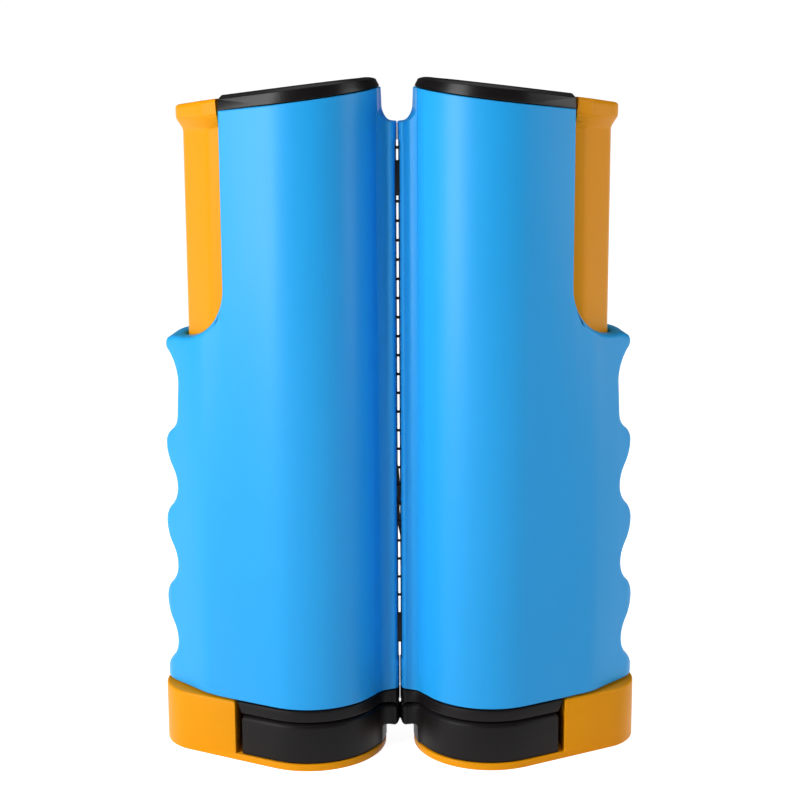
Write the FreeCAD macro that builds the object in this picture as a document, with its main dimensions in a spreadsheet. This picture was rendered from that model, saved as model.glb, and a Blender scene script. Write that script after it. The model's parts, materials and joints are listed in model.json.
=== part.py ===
"""Pair of retractable table tennis net posts, standing lip to lip.

Each post is a round net barrel with a grip behind it, a spring-loaded jaw
that a thumb lever pushes down, and a sprung reel that winds up half the net.
One post is modelled about its barrel axis (u towards the net lip, v to the
back, z up from the foot plate) and the other is its mirror image.
"""
import FreeCAD, Part
import math
import os
import Sketcher

Vector = FreeCAD.Vector
doc = FreeCAD.newDocument("NetClamp")

# Driving dimensions, in millimetres and degrees
SIZES = {
    # how the pair stands
    "toe_angle": 10,
    "lip_gap": 0.8,
    # housing, seen from above
    "barrel_radius": 20.5,
    "flank_angle": 16.5,
    "facet_angle": 35,
    "shoulder_radius": 14,
    "nose_radius": 6.5,
    "nose_reach": 40.8,
    "lip_length": 4.2,
    "lip_thickness": 4.2,
    "lip_root_radius": 2.2,
    "lip_corner": 1.1,
    "shell_wall": 2,
    "net_slot": 1.6,
    # heights
    "foot_plate": 1.9,
    "pad_height": 11.5,
    "jaw_gap": 0.4,
    "jaw_travel": 46,
    "base_cap_height": 3.6,
    "net_headroom": 12.2,
    "top_slope": 7.4,
    "cap_height": 3.1,
    "cap_draft": 15,
    "cap_spigot": 1.8,
    "lip_drop": 8.7,
    # lever recess and grip rim
    "recess_reach": 18.6,
    "recess_radius": 14.5,
    "rim_height": 99.5,
    "rim_round": 9,
    "rim_tip_drop": 3.1,
    # finger grooves
    "grip_lean": 1.9,
    "first_tip": 1.9,
    "groove_pitch": 22.4,
    "groove_depth": 3.9,
    "groove_rise": 10.5,
    "last_groove_rise": 8.6,
    "thumb_flat": 9,
    "flat_lean": 0.25,
    "rim_tip_round": 1.6,
    "rim_turn": 64,
    "edge_round": 0.8,
    # inside of the housing
    "partition_reach": 15.2,
    "partition_wall": 1.8,
    "grip_wall": 1.1,
    "mouth_depth": 4.1,
    "mouth_wall": 2.6,
    "mouth_flare": 2.4,
    "spigot_depth": 1.4,
    "spigot_inset": 0.15,
    # screws
    "screw_radius": 1.3,
    "head_radius": 2.1,
    "head_height": 1.7,
    "boss_radius": 2.1,
    "low_screw": 23,
    "high_screw": 134,
    "head_wall": 0.6,
    "head_floor": 1.2,
    "head_recess": 4.6,
    "housing_screw_length": 22,
    "jaw_screw_length": 14,
    # thumb lever
    "lever_play": 0.35,
    "lever_inner": 18.3,
    "lever_inset": 2.5,
    "lever_nose": 6,
    "lever_facet": 45,
    "lever_wall": 2,
    "lever_floor": 3,
    "lever_shelf": 3,
    "head_rise": 2.1,
    "head_band": 3.2,
    "head_flare": 1.7,
    "flare_height": 3,
    # jaw
    "jaw_margin": 0.5,
    "jaw_end_radius": 12.6,
    "jaw_end_margin": 0.5,
    "block_inner": 17.7,
    "block_height": 15,
    "pad_reach": 15.9,
    "pad_lip_height": 6.2,
    "pad_round": 1,
    "pad_lip_round": 0.8,
    "pocket_wall": 0.8,
    "pocket_width": 20,
    "pocket_height": 10,
    "pocket_floor": 1.6,
    "cap_reach": 17.2,
    # clamp spring and its guide
    "rod_radius": 2,
    "rod_length": 103,
    "rod_end": 2,
    "seat_radius": 4.8,
    "seat_height": 22,
    "seat_thickness": 4,
    "spring_radius": 4.6,
    "spring_wire": 1.2,
    # reel
    "net_height": 147.5,
    "net_thickness": 0.5,
    "net_pitch": 5.3,
    "net_thread": 0.9,
    "net_tape": 9,
    "net_edge": 0.3,
    "roll_radius": 12.6,
    "tube_radius": 7,
    "tube_wall": 1.4,
    "plug_depth": 7,
    "plug_end": 1.2,
    "pivot_radius": 2.5,
    "pivot_length": 7,
    "spindle_length": 96,
    "spindle_seat": 8,
    "return_spring_radius": 4.4,
    # clearances
    "running_fit": 0.06,
    "clearance": 0.4,
}

sheet = doc.addObject("Spreadsheet::Sheet", "Sizes")
for row, (alias, number) in enumerate(SIZES.items(), 1):
    sheet.set("A%d" % row, alias)
    sheet.set("B%d" % row, str(number))
    sheet.setAlias("B%d" % row, alias)
doc.recompute()


def size(alias):
    """One driving dimension, read back from the sheet."""
    return float(sheet.get(alias))


def ref(*aliases):
    """The expression that adds up cells of the sheet."""
    return " + ".join("Sizes." + alias for alias in aliases)


# Heights and reaches that several pieces share
BODY_BASE_REF = ref("foot_plate", "pad_height", "jaw_gap", "base_cap_height")
NET_LIFT_REF = ref("spigot_depth", "clearance", "plug_end", "clearance")
NET_BASE_REF = BODY_BASE_REF + " + " + NET_LIFT_REF
BODY_HEIGHT_REF = NET_LIFT_REF + " + " + ref("net_height", "net_headroom")
TALL = "2 * (" + BODY_HEIGHT_REF + ")"
ACROSS = ref("barrel_radius", "barrel_radius", "barrel_radius")
LIP_REACH = size("barrel_radius") + size("lip_length")
JAW_RADIUS = size("barrel_radius") + size("jaw_margin")
PLATE_TOP = size("foot_plate")
PAD_TOP = PLATE_TOP + size("pad_height")
CAP_BASE = PAD_TOP + size("jaw_gap")
BODY_BASE = CAP_BASE + size("base_cap_height")
NET_BASE = BODY_BASE + size("spigot_depth") + size("plug_end") + 2 * size("clearance")
NET_TOP = NET_BASE + size("net_height")
BODY_TOP = NET_TOP + size("net_headroom")
SLOPE = math.tan(math.radians(size("top_slope")))
LIP_TOP = BODY_TOP + SLOPE * size("barrel_radius") - size("lip_drop")
RIM_Z = BODY_BASE + size("rim_height")
FIRST_TIP_Z = BODY_BASE + size("first_tip")
LEVER_BASE = PLATE_TOP + size("block_height")
SHELF_TOP = size("seat_height") + size("rod_length") - size("rod_end")
SHELF_BASE = SHELF_TOP - size("lever_shelf")


def grip_u(z):
    """Reach of the leaning grip's finger tips at a height."""
    lean = math.tan(math.radians(size("grip_lean")))
    return -(size("nose_reach") - lean * (z - BODY_BASE))


# The grip wall is thinnest at the top of the thumb's flat
FLAT_LOW = FIRST_TIP_Z + 3 * size("groove_pitch") + size("last_groove_rise")
FLAT_HIGH = FLAT_LOW + size("thumb_flat")
CHANNEL_REACH = -grip_u(FLAT_HIGH) - size("groove_depth") - size("flat_lean") - size("grip_wall")
LEVER_REACH = CHANNEL_REACH - size("lever_play")
ROD_U = "-%s" % ((LEVER_REACH - size("lever_wall") + size("partition_reach") + size("partition_wall")) / 2)


def top_height(u):
    """Height of the housing's slanted top over a place on the u axis."""
    return BODY_TOP + SLOPE * u


# Outlines: a line is (start, end), an arc is (start, middle, end, radius cell)
def unit(angle):
    return Vector(math.cos(angle), math.sin(angle))


def line(start, end):
    return (Vector(start), Vector(end))


def arc(centre, start, end, cell=None):
    """The shorter arc between two points on a circle."""
    radius = (start - centre).Length
    middle = centre + ((start - centre) + (end - centre)).normalize() * radius
    return (Vector(start), middle, Vector(end), cell)


def flipped(step):
    """The same step on the back half of an outline, run the other way."""
    points = [Vector(p.x, -p.y) for p in step if isinstance(p, Vector)]
    points.reverse()
    return tuple(points) + ((step[3],) if len(step) == 4 else ())


def both_halves(front):
    return front + [flipped(step) for step in reversed(front)]


def meet(normal_a, distance_a, normal_b, distance_b):
    """Point that two lines, given by normal and distance, share."""
    det = normal_a.x * normal_b.y - normal_a.y * normal_b.x
    u = (distance_a * normal_b.y - distance_b * normal_a.y) / det
    v = (normal_a.x * distance_b - normal_b.x * distance_a) / det
    return Vector(u, v)


FLANK = unit(math.radians(-90 - size("flank_angle")))
FACET = unit(math.radians(-90 - size("facet_angle")))
LEVER_FACET = unit(math.radians(-90 - size("lever_facet")))


def at_u(normal, distance, u):
    """Point of a line at one u."""
    return Vector(u, (distance - normal.x * u) / normal.y)


def nose_steps(inset=0.0):
    """Nose, facet, shoulder and flank of the grip, up to the barrel."""
    nose = Vector(size("nose_radius") - size("nose_reach"), 0)
    nose_radius = size("nose_radius") - inset
    barrel = size("barrel_radius") - inset
    shoulder_radius = size("shoulder_radius") - inset
    shoulder = meet(
        FACET, nose.dot(FACET) + nose_radius - shoulder_radius,
        FLANK, barrel - shoulder_radius)
    tip = nose + Vector(-nose_radius, 0)
    nose_end = nose + FACET * nose_radius
    facet_end = shoulder + FACET * shoulder_radius
    flank_start = shoulder + FLANK * shoulder_radius
    return [
        arc(nose, tip, nose_end),
        line(nose_end, facet_end),
        arc(shoulder, facet_end, flank_start),
        line(flank_start, FLANK * barrel),
    ]


def lip_steps():
    """Barrel front, lip root and lip, from the flank to the lip's end."""
    barrel = size("barrel_radius")
    half = size("lip_thickness") / 2
    root_radius = size("lip_root_radius")
    corner = size("lip_corner")
    root = Vector(math.sqrt((barrel + root_radius) ** 2 - (half + root_radius) ** 2), -half - root_radius)
    root_start = root * (barrel / (barrel + root_radius))
    root_end = Vector(root.x, -half)
    corner_centre = Vector(LIP_REACH - corner, corner - half)
    corner_start = Vector(LIP_REACH - corner, -half)
    corner_end = Vector(LIP_REACH, corner - half)
    return [
        arc(Vector(), FLANK * barrel, root_start, "barrel_radius"),
        arc(root, root_start, root_end, "lip_root_radius"),
        line(root_end, corner_start),
        arc(corner_centre, corner_start, corner_end, "lip_corner"),
        line(corner_end, Vector(LIP_REACH, 0)),
    ]


def barrel_arc(radius, cell=None):
    return arc(Vector(), FLANK * radius, Vector(radius, 0), cell)


def clipped_flank(reach, radius):
    """Straight end at one reach, then the flank up to the barrel."""
    corner = at_u(FLANK, radius, -reach)
    return [line(Vector(-reach, 0), corner), line(corner, FLANK * radius)]


def chamber_half(inset):
    """Reel chamber: barrel and flanks inside the wall, closed by the partition."""
    radius = size("barrel_radius") - size("shell_wall") - inset
    return clipped_flank(size("partition_reach") - inset, radius) + [barrel_arc(radius)]


def channel_half(reach):
    """Lever channel inside the grip wall, cut flat at one reach."""
    steps = nose_steps(size("shell_wall"))
    facet_start = steps[1][0]
    cut = at_u(FACET, facet_start.dot(FACET), -reach)
    inner = size("partition_reach") + size("partition_wall")
    radius = size("barrel_radius") - size("shell_wall")
    flank_end = at_u(FLANK, radius, -inner)
    return [
        line(Vector(-reach, 0), cut),
        line(cut, steps[1][1]),
        steps[2],
        line(steps[3][0], flank_end),
        line(flank_end, Vector(-inner, 0)),
    ]


def lever_half(grow, inner=None):
    """Lever section, grown outwards; the inner face is flat."""
    radius = size("barrel_radius") - size("lever_inset") + grow
    nose_radius = size("lever_nose") + grow
    nose = Vector(size("lever_nose") - LEVER_REACH, 0)
    inner = size("lever_inner") if inner is None else inner
    tip = nose + Vector(-nose_radius, 0)
    nose_end = nose + LEVER_FACET * nose_radius
    corner = meet(LEVER_FACET, nose_end.dot(LEVER_FACET), FLANK, radius)
    inner_corner = at_u(FLANK, radius, -inner)
    sides = [line(nose_end, corner), line(corner, inner_corner)]
    if corner.x > -inner:
        # the facet reaches the inner face before it meets the flank
        inner_corner = at_u(LEVER_FACET, nose_end.dot(LEVER_FACET), -inner)
        sides = [line(nose_end, inner_corner)]
    return [arc(nose, tip, nose_end)] + sides + [line(inner_corner, Vector(-inner, 0))]


def jaw_half(inner=None):
    """Jaw outline: the round end, the flank and the round under the barrel."""
    radius = JAW_RADIUS
    end_radius = size("jaw_end_radius")
    end = Vector(end_radius - size("nose_reach") - size("jaw_end_margin"), 0)
    normal = unit(-math.pi / 2 + math.asin((radius - end_radius) / end.x))
    steps = [
        arc(end, end + Vector(-end_radius, 0), end + normal * end_radius, "jaw_end_radius"),
    ]
    if inner is None:
        steps.append(line(end + normal * end_radius, normal * radius))
        steps.append(arc(Vector(), normal * radius, Vector(radius, 0), "barrel_radius + Sizes.jaw_margin"))
    else:
        corner = at_u(normal, radius, -inner)
        steps.append(line(end + normal * end_radius, corner))
        steps.append(line(corner, Vector(-inner, 0)))
    return steps


def sketch(name, *loops, z=None, upright=False):
    """Sketch of closed loops, level at a height or upright on the u axis."""
    result = doc.addObject("Sketcher::SketchObject", name)
    if upright:
        result.Placement = FreeCAD.Placement(Vector(), FreeCAD.Rotation(Vector(1, 0, 0), 90))
    first = 0
    for steps in loops:
        ends = []
        for index, step in enumerate(steps, first):
            points = [p for p in step if isinstance(p, Vector)]
            result.addGeometry(Part.LineSegment(*points) if len(points) == 2 else Part.Arc(*points), False)
            near = (result.getPoint(index, 1) - points[0]).Length
            far = (result.getPoint(index, 2) - points[0]).Length
            ends.append((1, 2) if near < far else (2, 1))
        for index in range(len(steps)):
            after = (index + 1) % len(steps)
            result.addConstraint(Sketcher.Constraint(
                "Coincident", first + index, ends[index][1], first + after, ends[after][0]))
        for index, step in enumerate(steps, first):
            if len(step) == 4 and step[3]:
                number = result.addConstraint(Sketcher.Constraint("Radius", index, result.Geometry[index].Radius))
                result.setExpression("Constraints[%d]" % number, "Sizes." + step[3])
        first += len(steps)
    if z is not None:
        result.setExpression("Placement.Base.z", z)
    return result


def prism(name, outline, height=None, both_ways=False, down=False):
    """Solid between an outline and its copy along its normal."""
    result = doc.addObject("Part::Extrusion", name)
    result.Base = outline
    result.DirMode = "Normal"
    result.Solid = True
    result.Symmetric = both_ways
    result.Reversed = down
    result.setExpression("LengthFwd", height)
    return result


def cylinder(name, radius, height, z="0", u="0", v="0"):
    result = doc.addObject("Part::Cylinder", name)
    result.setExpression("Radius", radius)
    result.setExpression("Height", height)
    result.setExpression("Placement.Base.x", u)
    result.setExpression("Placement.Base.y", v)
    result.setExpression("Placement.Base.z", z)
    return result


def box(name, low, length, width, height):
    """Box from its low corner (numbers or expressions) and three expressions."""
    result = doc.addObject("Part::Box", name)
    result.setExpression("Length", length)
    result.setExpression("Width", width)
    result.setExpression("Height", height)
    result.setExpression("Placement.Base.x", low[0])
    result.setExpression("Placement.Base.y", low[1])
    result.setExpression("Placement.Base.z", low[2])
    return result


def cut(name, base, *tools):
    result = doc.addObject("Part::Cut", name)
    result.Base = base
    result.Tool = tools[0] if len(tools) == 1 else fuse(name + "_tools", *tools)
    return result


def fuse(name, *shapes):
    result = doc.addObject("Part::MultiFuse", name)
    result.Shapes = list(shapes)
    return result


def common(name, *shapes):
    result = doc.addObject("Part::MultiCommon", name)
    result.Shapes = list(shapes)
    return result


PARTS = {}


def keep(name, shape):
    """Marks a finished piece of one post; the mirror post gets its twin."""
    PARTS[name] = shape


# Side view of the housing, in u and z. Tips are rounder than grooves by this share
TIP_SHARE = 0.45


def half_wave(start, end):
    """Two tangent arcs between a tip and a groove, both upright at their ends."""
    across = end.x - start.x
    along = end.y - start.y
    total = (along ** 2 + across ** 2) / (2 * across)
    start_centre = start + Vector(total * TIP_SHARE, 0)
    end_centre = end - Vector(total * (1 - TIP_SHARE), 0)
    joint = start_centre + (end_centre - start_centre) * TIP_SHARE
    return [arc(start_centre, start, joint), arc(end_centre, joint, end)]


def grip_steps():
    """Finger tips and grooves, from the foot of the grip up to the rim."""
    pitch = size("groove_pitch")
    depth = size("groove_depth")
    tips = [FIRST_TIP_Z + pitch * count for count in range(4)]
    steps = [line(Vector(grip_u(FIRST_TIP_Z), BODY_BASE), Vector(grip_u(FIRST_TIP_Z), FIRST_TIP_Z))]
    for lower, upper in zip(tips, tips[1:]):
        middle = lower + size("groove_rise")
        groove = Vector(grip_u(middle) + depth, middle)
        steps += half_wave(Vector(grip_u(lower), lower), groove)
        steps += half_wave(groove, Vector(grip_u(upper), upper))
    groove = Vector(grip_u(FLAT_LOW) + depth, FLAT_LOW)
    steps += half_wave(Vector(grip_u(tips[-1]), tips[-1]), groove)
    flat_end = Vector(grip_u(FLAT_HIGH) + depth + size("flat_lean"), FLAT_HIGH)
    steps.append(line(groove, flat_end))
    return steps, flat_end


def rim_steps(flat_end):
    """Flared tip of the rim and the curve that leads up to the recess."""
    recess = -size("recess_reach")
    recess_radius = size("recess_radius")
    centre = Vector(recess - recess_radius, RIM_Z + recess_radius)
    rim_low = Vector(centre.x, RIM_Z)
    round_centre = Vector(centre.x, RIM_Z - size("rim_round"))
    tip_z = RIM_Z - size("rim_tip_drop")
    tip = Vector(grip_u(tip_z), tip_z)
    tip_radius = size("rim_tip_round")
    tip_centre = tip + Vector(tip_radius, 0)
    gap = (tip_centre - round_centre).Length
    # the rim's round meets the tip's round where their circles touch
    touch = round_centre + (tip_centre - round_centre) * (size("rim_round") / gap)
    upper = touch
    lower_turn = math.radians(size("rim_turn"))
    lower = tip_centre + Vector(-math.cos(lower_turn), -math.sin(lower_turn)) * tip_radius
    drop = lower.y - flat_end.y
    across = flat_end.x - lower.x
    cove = (drop ** 2 + across ** 2) / (2 * across)
    cove_centre = Vector(flat_end.x - cove, flat_end.y)
    return [
        arc(cove_centre, flat_end, lower),
        (lower, tip, upper),
        arc(round_centre, touch, rim_low),
        arc(centre, rim_low, Vector(recess, centre.y), "recess_radius"),
    ]


def elevation_steps():
    """Side view of the whole housing."""
    barrel = size("barrel_radius")
    reach = LIP_REACH
    corner = size("lip_corner") / 2
    cove = reach - corner - barrel
    recess = -size("recess_reach")
    grip, flat_end = grip_steps()
    rim = rim_steps(flat_end)
    recess_low = rim[-1][2]
    top_left = Vector(recess, top_height(recess))
    top_right = Vector(barrel, top_height(barrel))
    cove_top = Vector(barrel, LIP_TOP + cove)
    cove_end = Vector(barrel + cove, LIP_TOP)
    corner_end = Vector(reach, LIP_TOP - corner)
    steps = grip + rim
    steps += [
        line(recess_low, top_left),
        line(top_left, top_right),
        line(top_right, cove_top),
        arc(Vector(barrel + cove, LIP_TOP + cove), cove_top, cove_end),
        arc(Vector(reach - corner, LIP_TOP - corner), cove_end, corner_end),
        line(corner_end, Vector(reach, BODY_BASE)),
        line(Vector(reach, BODY_BASE), grip[0][0]),
    ]
    return steps


def slab_steps(left, right, low, high):
    """Slanted slab between two heights over the axis, seen from the side."""
    corners = [
        Vector(left, low + SLOPE * left),
        Vector(right, low + SLOPE * right),
        Vector(right, high + SLOPE * right),
        Vector(left, high + SLOPE * left),
    ]
    return [line(a, b) for a, b in zip(corners, corners[1:] + corners[:1])]


def polygon(corners):
    points = [Vector(*corner) for corner in corners]
    return [line(a, b) for a, b in zip(points, points[1:] + points[:1])]


# Housing
def housing_walls():
    """Both shells in one, with the reel chamber, lever channel and net slot."""
    plan = sketch("housing_plan", both_halves(nose_steps() + lip_steps()), z=BODY_BASE_REF)
    side = sketch("housing_side", elevation_steps(), upright=True)
    outside = common(
        "housing_outside",
        prism("housing_plan_prism", plan, TALL),
        prism("housing_side_prism", side, ACROSS, both_ways=True))
    chamber = prism(
        "chamber", sketch("chamber_plan", both_halves(chamber_half(0.0)), z=ref("foot_plate")),
        TALL)
    channel = prism(
        "channel",
        sketch("channel_plan", both_halves(channel_half(CHANNEL_REACH)), z=ref("foot_plate")),
        TALL)
    mouth_reach = size("nose_reach") - size("mouth_wall") - size("mouth_flare")
    mouth = prism(
        "mouth",
        sketch(
            "mouth_plan", both_halves(channel_half(mouth_reach)),
            z=BODY_BASE_REF + " + Sizes.rim_height - Sizes.mouth_depth"),
        TALL)
    slot = box(
        "slot", (ref("barrel_radius") + " - 2 * Sizes.shell_wall", "-Sizes.net_slot / 2", NET_BASE_REF + " - 1"),
        ref("barrel_radius", "lip_length"), "Sizes.net_slot", "Sizes.net_height + 2")
    return cut("housing_walls", outside, chamber, channel, mouth, slot)


def half_space(name, front):
    far = "4 * Sizes.barrel_radius"
    v = "-" + far if front else "0"
    return box(name, ("-" + far, v, "0"), "2 * " + far, far, TALL)


SCREW_U = "-Sizes.partition_reach"
SCREW_ROWS = ("low_screw", "high_screw")


def screw_z(row):
    """Height of one housing screw."""
    return BODY_BASE_REF + " + Sizes." + row


def along_v(piece, v, z):
    """Lays a cylinder on the v axis at a screw's place."""
    piece.Placement = FreeCAD.Placement(Vector(), FreeCAD.Rotation(Vector(1, 0, 0), -90))
    piece.setExpression("Placement.Base.x", SCREW_U)
    piece.setExpression("Placement.Base.y", v)
    piece.setExpression("Placement.Base.z", z)
    return piece


HEAD_V = "(Sizes.barrel_radius - Sizes.shell_wall - Sizes.head_recess)"
TIP_V = "(" + HEAD_V + " - Sizes.housing_screw_length)"


def shells():
    """Front and rear shell, with the bosses and holes of the screws."""
    walls = housing_walls()
    bosses = {"front": [], "rear": []}
    holes = {"front": [], "rear": []}
    for row in SCREW_ROWS:
        z = screw_z(row)
        bosses["front"].append(along_v(
            cylinder("front_boss_" + row, ref("boss_radius"), "-" + TIP_V + " + Sizes.barrel_radius"),
            TIP_V + " - Sizes.barrel_radius", z))
        bosses["rear"].append(along_v(
            cylinder("rear_boss_" + row, ref("boss_radius"), ref("barrel_radius")), "0", z))
        bosses["rear"].append(along_v(
            cylinder("head_boss_" + row, ref("head_radius", "head_wall"), ref("barrel_radius")),
            HEAD_V + " - Sizes.head_floor", z))
        holes["front"].append(along_v(
            cylinder("pilot_" + row, ref("screw_radius"), ref("housing_screw_length")), TIP_V, z))
        holes["rear"].append(along_v(
            cylinder("shank_hole_" + row, ref("screw_radius"), HEAD_V), "0", z))
        holes["rear"].append(along_v(
            cylinder("head_hole_" + row, ref("head_radius"), ref("barrel_radius")), HEAD_V, z))
    outside = doc.getObject("housing_outside")
    for side in ("front", "rear"):
        half = common(side + "_half", walls, half_space(side + "_space", side == "front"))
        inside = common(side + "_bosses_in", outside, fuse(side + "_bosses", *bosses[side]))
        body = [half, inside]
        if side == "rear":
            body.append(spring_seat())
        keep(side + "_shell", cut(side + "_shell_cut", fuse(side + "_body", *body), *holes[side]))


def spring_seat():
    """Bracket on the rear partition that holds the guide rod and the clamp spring."""
    wide = ref("seat_radius")
    arm = box(
        "seat_arm", (ROD_U, "0", ref("seat_height")),
        "-(" + ROD_U + ") - Sizes.partition_reach - Sizes.partition_wall / 2", wide, ref("seat_thickness"))
    end = cylinder("seat_end", wide, ref("seat_thickness"), ref("seat_height"), ROD_U)
    hole = cylinder("seat_hole", ref("rod_radius"), ref("seat_thickness"), ref("seat_height"), ROD_U)
    return cut("spring_seat", fuse("seat_solid", arm, end), hole)


def base_cap():
    """Upper jaw: a flat cap under the housing with the lower reel pivot."""
    reach = size("cap_reach")
    steps = both_halves(clipped_flank(reach, size("barrel_radius")) + lip_steps())
    plan = sketch("base_cap_plan", steps, z=ref("foot_plate", "pad_height", "jaw_gap"))
    plate = prism("base_cap_plate", plan, ref("base_cap_height"))
    slope = size("pad_reach")
    wedge = prism(
        "base_cap_wedge",
        sketch("base_cap_wedge_side", polygon((
            (-reach - 1, CAP_BASE - 1), (-slope, CAP_BASE - 1), (-slope, CAP_BASE), (-reach, BODY_BASE),
            (-reach - 1, BODY_BASE))), upright=True),
        ACROSS, both_ways=True)
    spigot = prism(
        "base_cap_spigot",
        sketch("base_cap_spigot_plan", both_halves(chamber_half(size("spigot_inset"))), z=BODY_BASE_REF),
        ref("spigot_depth"))
    pivot = cylinder("base_cap_pivot", ref("pivot_radius"), ref("pivot_length"), BODY_BASE_REF)
    keep("base_cap", cut("base_cap_cut", fuse("base_cap_solid", plate, spigot, pivot), wedge))


def tilt(piece, u, height):
    """Tilts a level sketch about one u so that it lies along the slanted top."""
    turn = FreeCAD.Rotation(Vector(0, 1, 0), -size("top_slope"))
    anchor = Vector(u, 0, 0)
    piece.Placement = FreeCAD.Placement(Vector(u, 0, height + SLOPE * u) - turn.multVec(anchor), turn)
    return piece


def chamfered(name, base, width, wanted):
    """Chamfers the edges whose ends all pass a test."""
    doc.recompute()
    edges = []
    for number, edge in enumerate(base.Shape.Edges, 1):
        if all(wanted(end.Point) for end in edge.Vertexes):
            edges.append((number, width, width))
    result = doc.addObject("Part::Chamfer", name)
    result.Base = base
    result.Edges = edges
    return result


def top_cap():
    """Slanted cap with a spigot in the barrel and the boss of the reel spindle."""
    outline = clipped_flank(size("recess_reach") + size("cap_height"), size("barrel_radius"))
    outline.append(barrel_arc(size("barrel_radius"), "barrel_radius"))
    plate = prism("top_cap_plate", tilt(sketch("top_cap_plan", both_halves(outline)), 0, BODY_TOP), ref("cap_height"))
    plate.TaperAngle = -size("cap_draft")
    plate = cut("top_cap_clipped", plate, box(
        "top_cap_end", ("-Sizes.recess_reach - (" + ACROSS + ")", "-(%s)" % ACROSS, "0"), ACROSS, "2 * (%s)" % ACROSS, TALL))
    top = BODY_TOP + size("cap_height") / math.cos(math.radians(size("top_slope")))
    plate = chamfered(
        "top_cap_edge", plate, size("edge_round"), lambda point: abs(point.z - top - SLOPE * point.x) < 0.01)
    spigot = common(
        "top_cap_spigot",
        prism(
            "top_cap_spigot_prism",
            sketch("top_cap_spigot_plan", both_halves(chamber_half(size("spigot_inset"))), z=BODY_HEIGHT_REF),
            TALL),
        prism(
            "top_cap_spigot_slab",
            sketch(
                "top_cap_spigot_side",
                slab_steps(
                    -2 * size("barrel_radius"), 2 * size("barrel_radius"),
                    BODY_TOP - size("cap_spigot"), BODY_TOP + size("cap_height") / 2),
                upright=True),
            ACROSS, both_ways=True))
    low = NET_BASE_REF + " + " + ref("net_height", "plug_end", "clearance", "clearance")
    boss = cylinder(
        "spindle_boss", ref("pivot_radius", "shell_wall"),
        BODY_BASE_REF + " + " + BODY_HEIGHT_REF + " + Sizes.cap_height / 2 - (" + low + ")", low)
    bore = cylinder("spindle_bore", ref("pivot_radius"), ref("spindle_seat"), low)
    keep("top_cap", cut("top_cap_cut", fuse("top_cap_solid", plate, spigot, boss), bore))


def thumb_lever():
    """Hollow lever with a flared head, a shelf on the guide rod and a floor."""
    shaft_top = top_height(-size("lever_inner")) - size("clearance")
    shaft = prism(
        "lever_shaft", sketch("lever_plan", both_halves(lever_half(0)), z=ref("foot_plate", "block_height")),
        "%s" % (shaft_top - LEVER_BASE))
    pivot_u = size("lever_nose") - LEVER_REACH
    head_inner = size("recess_reach") + size("clearance")
    cap_top = BODY_TOP + 2 * size("cap_height")
    band_low = BODY_TOP + size("head_rise") - size("head_band")
    flare = prism(
        "lever_flare_taper",
        tilt(sketch("lever_flare_plan", both_halves(lever_half(0, head_inner))),
             pivot_u, band_low - size("flare_height")),
        ref("flare_height"))
    flare.TaperAngle = math.degrees(math.atan(size("head_flare") / size("flare_height")))
    flare = cut("lever_flare", flare, box(
        "lever_flare_clear", ("-%s" % head_inner, "-(%s)" % ACROSS, "0"), ACROSS, "2 * (%s)" % ACROSS,
        TALL))
    band = prism(
        "lever_band",
        tilt(sketch("lever_band_plan", both_halves(lever_half(size("head_flare"), head_inner))), pivot_u, band_low),
        ref("head_band"))
    head_clear = prism(
        "lever_head_clear",
        sketch("lever_head_clear_side", polygon((
            (-head_inner, shaft_top), (0, shaft_top), (0, cap_top), (-head_inner, cap_top))), upright=True),
        ACROSS, both_ways=True)
    hollow = both_halves(lever_half(-size("lever_wall"), size("lever_inner") - 1))
    lower = prism(
        "lever_lower_hollow",
        sketch("lever_lower_plan", hollow, z=ref("foot_plate", "block_height", "lever_floor")),
        "%s" % (SHELF_BASE - LEVER_BASE - size("lever_floor")))
    shelf_top = "Sizes.seat_height + Sizes.rod_length - Sizes.rod_end"
    upper = prism(
        "lever_upper_hollow", sketch("lever_upper_plan", hollow, z=shelf_top),
        ref("rod_end", "jaw_travel", "clearance"))
    guide = cylinder(
        "lever_guide", ref("rod_radius", "running_fit"), "3 * Sizes.lever_shelf",
        shelf_top + " - 2 * Sizes.lever_shelf", ROD_U)
    pilot = cylinder(
        "lever_pilot", ref("screw_radius"), "2 * Sizes.lever_floor",
        ref("foot_plate", "block_height") + " - Sizes.lever_floor / 2", ROD_U)
    solid = fuse("lever_solid", shaft, flare, band)
    keep("thumb_lever", cut("lever_cut", solid, head_clear, lower, upper, guide, pilot))


def jaw_bracket():
    """Outer block and thin foot plate of the lower jaw, in one moulding."""
    block = prism(
        "block_solid", sketch("block_plan", both_halves(jaw_half(size("block_inner")))),
        ref("foot_plate", "block_height"))
    block = chamfered(
        "block_edge", block, size("edge_round") / 2, lambda point: abs(point.z - LEVER_BASE) < 0.01)
    plate = prism("plate_solid", sketch("plate_plan", both_halves(jaw_half())), ref("foot_plate"))
    pocket = box(
        "block_pocket",
        (ROD_U + " + " + ref("head_radius", "pocket_wall"), "-Sizes.pocket_width / 2",
         "Sizes.foot_plate + Sizes.pocket_floor"),
        "-(%s)" % ROD_U, "Sizes.pocket_width", "Sizes.pocket_height")
    shank = cylinder("jaw_shank_hole", ref("screw_radius"), "2 * Sizes.block_height", "0", ROD_U)
    head = cylinder(
        "jaw_head_hole", ref("head_radius"),
        ref("foot_plate", "block_height", "lever_floor") + " - Sizes.jaw_screw_length", "0", ROD_U)
    keep("jaw_bracket", cut("jaw_bracket_cut", fuse("jaw_bracket_solid", block, plate), pocket, shank, head))


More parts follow.
